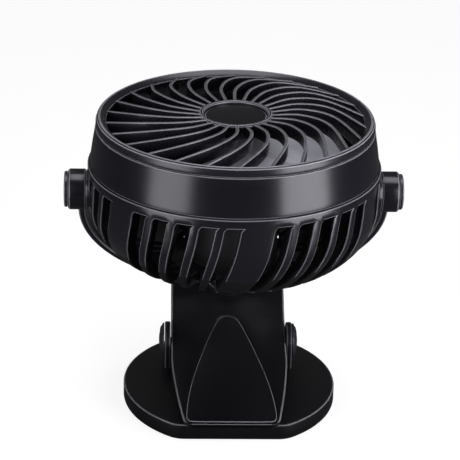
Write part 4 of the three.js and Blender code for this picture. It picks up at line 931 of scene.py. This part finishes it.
# ---------------------------------------------------------------- front grille
# A rim, a hub ring and 26 tall thin ribs that leave the hub and lean round the axis like blades, moulded
# in one. A domed cap closes the hub ring.
RIM = [
    (58.9, 26), (60.5, 26), (60.5, 32.3), (62.7, 32.3), (62.7, 34.3), (62.2, 35.8), (61.4, 36.55),
    (60.8, 36.6), (58.5, 35.0), (58, 34.4), (58, 32),
]
HUB_RING = [
    (11.4, 31.4), (16.8, 31.4), (16.8, 37.3), (16.1, 38), (14.9, 38), (14.4, 37.4), (14.4, 33.7),
    (11.4, 33.7),
]
RIB_COUNT, RIB_DEPTH, RIB_THICKNESS = 26, 6, 1.4
RIB_KNOTS = [(15.6, 0.4, 37.9), (30, -2.7, 39.17), (44, -14.1, 38.65), (60, -30, 34.6)]
RIB_STEPS = 26
# The strength of the painted highlight across the ribs' tops.
TOP_HIGHLIGHT = 0.38

rim = turned("grille_rim", RIM, 192, hollow=True)
soften(rim, 0.25, angle=28)
hub_ring = turned("hub_ring", HUB_RING, 96, hollow=True)
soften(hub_ring, 0.25)

rib_knots = [
    Vector((r * math.sin(math.radians(t)), -r * math.cos(math.radians(t)), z)) for r, t, z in RIB_KNOTS]
rib_line = [through(rib_knots, i / RIB_STEPS) for i in range(RIB_STEPS + 1)]
bpy.ops.mesh.primitive_plane_add(size=MM, rotation=(math.pi / 2, 0, 0))
rib = new_piece("rib")
edit(rib)
bpy.ops.mesh.select_all(action="SELECT")
for _ in range(RIB_STEPS):
    bpy.ops.mesh.extrude_region_move(TRANSFORM_OT_translate={"value": (0, MM, 0)})
bpy.ops.mesh.select_all(action="SELECT")
bpy.ops.mesh.normals_make_consistent(inside=False)
bpy.ops.object.mode_set(mode="OBJECT")
for vertex in rib.data.vertices:
    step = round(vertex.co.y / MM)
    before, after = rib_line[max(0, step - 1)], rib_line[min(RIB_STEPS, step + 1)]
    along = (after - before).xy.normalized()
    aside = Vector((-along.y, along.x, 0)) * math.copysign(RIB_THICKNESS / 2, vertex.co.x)
    depth = 0 if vertex.co.z > 0 else RIB_DEPTH
    vertex.co = (rib_line[step] + aside - Vector((0, 0, depth))) * MM
edit(rib)
done()
# A painted highlight on the ribs' upward edges, and a weaker one across their tops.
soften(rib, 0.42, segments=3, angle=50, painted_highlight=lambda at, out: out.z > 0.2)
for mark, face in zip(rib.data.attributes["painted_highlight"].data, rib.data.polygons):
    if face.normal.z > 0.8:
        mark.value = TOP_HIGHLIGHT
ribs = [rib]
for number in range(1, RIB_COUNT):
    copied = rib.copy()
    copied.data = rib.data.copy()
    bpy.context.scene.collection.objects.link(copied)
    ribs.append(placed(copied, Matrix.Rotation(number * TURN / RIB_COUNT, 4, "Z")))
grille_black = moulded_plastic(
    "grille_black_plastic", (0.009, 0.0085, 0.0115), roughness=0.27, grain=0.1, edge_light=0.6)
grille = placed(joined("spiral_grille", [rim, hub_ring, *ribs]), raised)
dressed(grille, "head", grille_black, "front_grille")

CENTRE_CAP = [(14.1, 34), (14.1, 36), (13.6, 36.5), (11, 36.8), (7, 37.02), (3, 37.1), (0.6, 37.1)]
centre_cap = turned("hub_cap", CENTRE_CAP, 96)
soften(centre_cap, 0.15)
dressed(placed(centre_cap, raised), "head", panel_black, "grille_centre_cap")


# ---------------------------------------------------------------- studio
# A pale sweep under two upright softboxes in front, one overhead and a weak one high behind, with the
# camera above and in front of the fan.
CAMERA_AT = Vector((-35.034, -784.446, 440.551)) * MM
CAMERA_YAW, CAMERA_PITCH, CAMERA_ROLL = 0.043, 0.424, 0.026
SENSOR_WIDTH, FOCAL_SHARE = 36, 1872.29 / 460
LAMP_COLOUR = (0.93, 0.92, 1)
SIDE_AWAY, SIDE_LOW, SIDE_HIGH = 0.36, 0.004, 0.34
TOP_AT = (0.1, 0.1, 1.3)
BACK_AT, BACK_AIM = Vector((-0.30, 0.84, 0.93)), 0.13
SWEEP_SIZE, SWEEP_DROP = 12, 0.0002
PAPER_GREY, PAPER_MIRRORED = 0.24, 0.07
GLOW, GLOW_MIRRORED = 0.85, 0.03
AIR_LIGHT, AIR_MIRRORED = 0.08, 0.02

forward = Vector((
    math.sin(CAMERA_YAW) * math.cos(CAMERA_PITCH),
    math.cos(CAMERA_YAW) * math.cos(CAMERA_PITCH),
    -math.sin(CAMERA_PITCH)))
level = Vector((math.cos(CAMERA_YAW), -math.sin(CAMERA_YAW), 0))
upward = level.cross(forward)
right = math.cos(CAMERA_ROLL) * level + math.sin(CAMERA_ROLL) * upward
up = -math.sin(CAMERA_ROLL) * level + math.cos(CAMERA_ROLL) * upward
camera = bpy.data.objects.new("camera", bpy.data.cameras.new("camera"))
bpy.context.scene.collection.objects.link(camera)
camera.matrix_world = Matrix.Translation(CAMERA_AT) @ Matrix((right, up, -forward)).transposed().to_4x4()
camera.data.sensor_width = SENSOR_WIDTH
camera.data.lens = SENSOR_WIDTH * FOCAL_SHARE
camera.data.clip_start = 0.01
bpy.context.scene.camera = camera


def softbox(name, width, height, power, matrix):
    """A rectangular lamp that the camera doesn't see."""
    lamp = bpy.data.lights.new(name, "AREA")
    lamp.shape, lamp.size, lamp.size_y, lamp.energy = "RECTANGLE", width, height, power
    lamp.color = LAMP_COLOUR
    box = bpy.data.objects.new(name, lamp)
    box.visible_camera = False
    bpy.context.scene.collection.objects.link(box)
    box.matrix_world = matrix


in_front = Matrix.Translation((0, -SIDE_AWAY, (SIDE_LOW + SIDE_HIGH) / 2))
upright = Matrix.Rotation(math.pi / 2, 4, "X")
for name, turn, width, power in (("left_box", -49, 0.2, 0.87), ("right_box", 50, 0.24, 1.6)):
    matrix = Matrix.Rotation(math.radians(turn), 4, "Z") @ in_front @ upright
    softbox(name, width, SIDE_HIGH - SIDE_LOW, power, matrix)
softbox("top_box", 0.9, 0.8, 9, Matrix.Translation(TOP_AT))
towards_fan = (BACK_AT - Vector((0, 0, BACK_AIM))).to_track_quat("Z", "Y").to_matrix().to_4x4()
softbox("back_box", 0.4, 0.34, 0.12, Matrix.Translation(BACK_AT) @ towards_fan)

bpy.ops.mesh.primitive_plane_add(size=SWEEP_SIZE, location=(0, 0, -SWEEP_DROP))
floor = new_piece("floor")
sweep = Finish("pale_floor")
mirrored = sweep.light_path("Glossy")
seen = (sweep.light_path("Camera") + sweep.light_path("Transmission") + GLOW_MIRRORED * mirrored).clamped()
paper = sweep.node("BsdfDiffuse", values={"Color": PAPER_GREY - (PAPER_GREY - PAPER_MIRRORED) * mirrored})
glow = sweep.node("Emission", values={"Color": (1, 1, 1, 1), "Strength": GLOW})
lit = sweep.node("AddShader", values={0: paper, 1: glow})
floor.data.materials.append(sweep.finished(sweep.node("MixShader", values={0: seen, 1: paper, 2: lit})))

sky = Finish("studio", "worlds")
seen = sky.light_path("Camera") + sky.light_path("Transmission")
strength = AIR_LIGHT + (1 - AIR_LIGHT) * seen + AIR_MIRRORED * sky.light_path("Glossy")
air = sky.node("Background", values={"Color": (1, 1, 1, 1), "Strength": strength.clamped()})
bpy.context.scene.world = sky.finished(air, "World")
bpy.context.scene.view_settings.view_transform = "Standard"
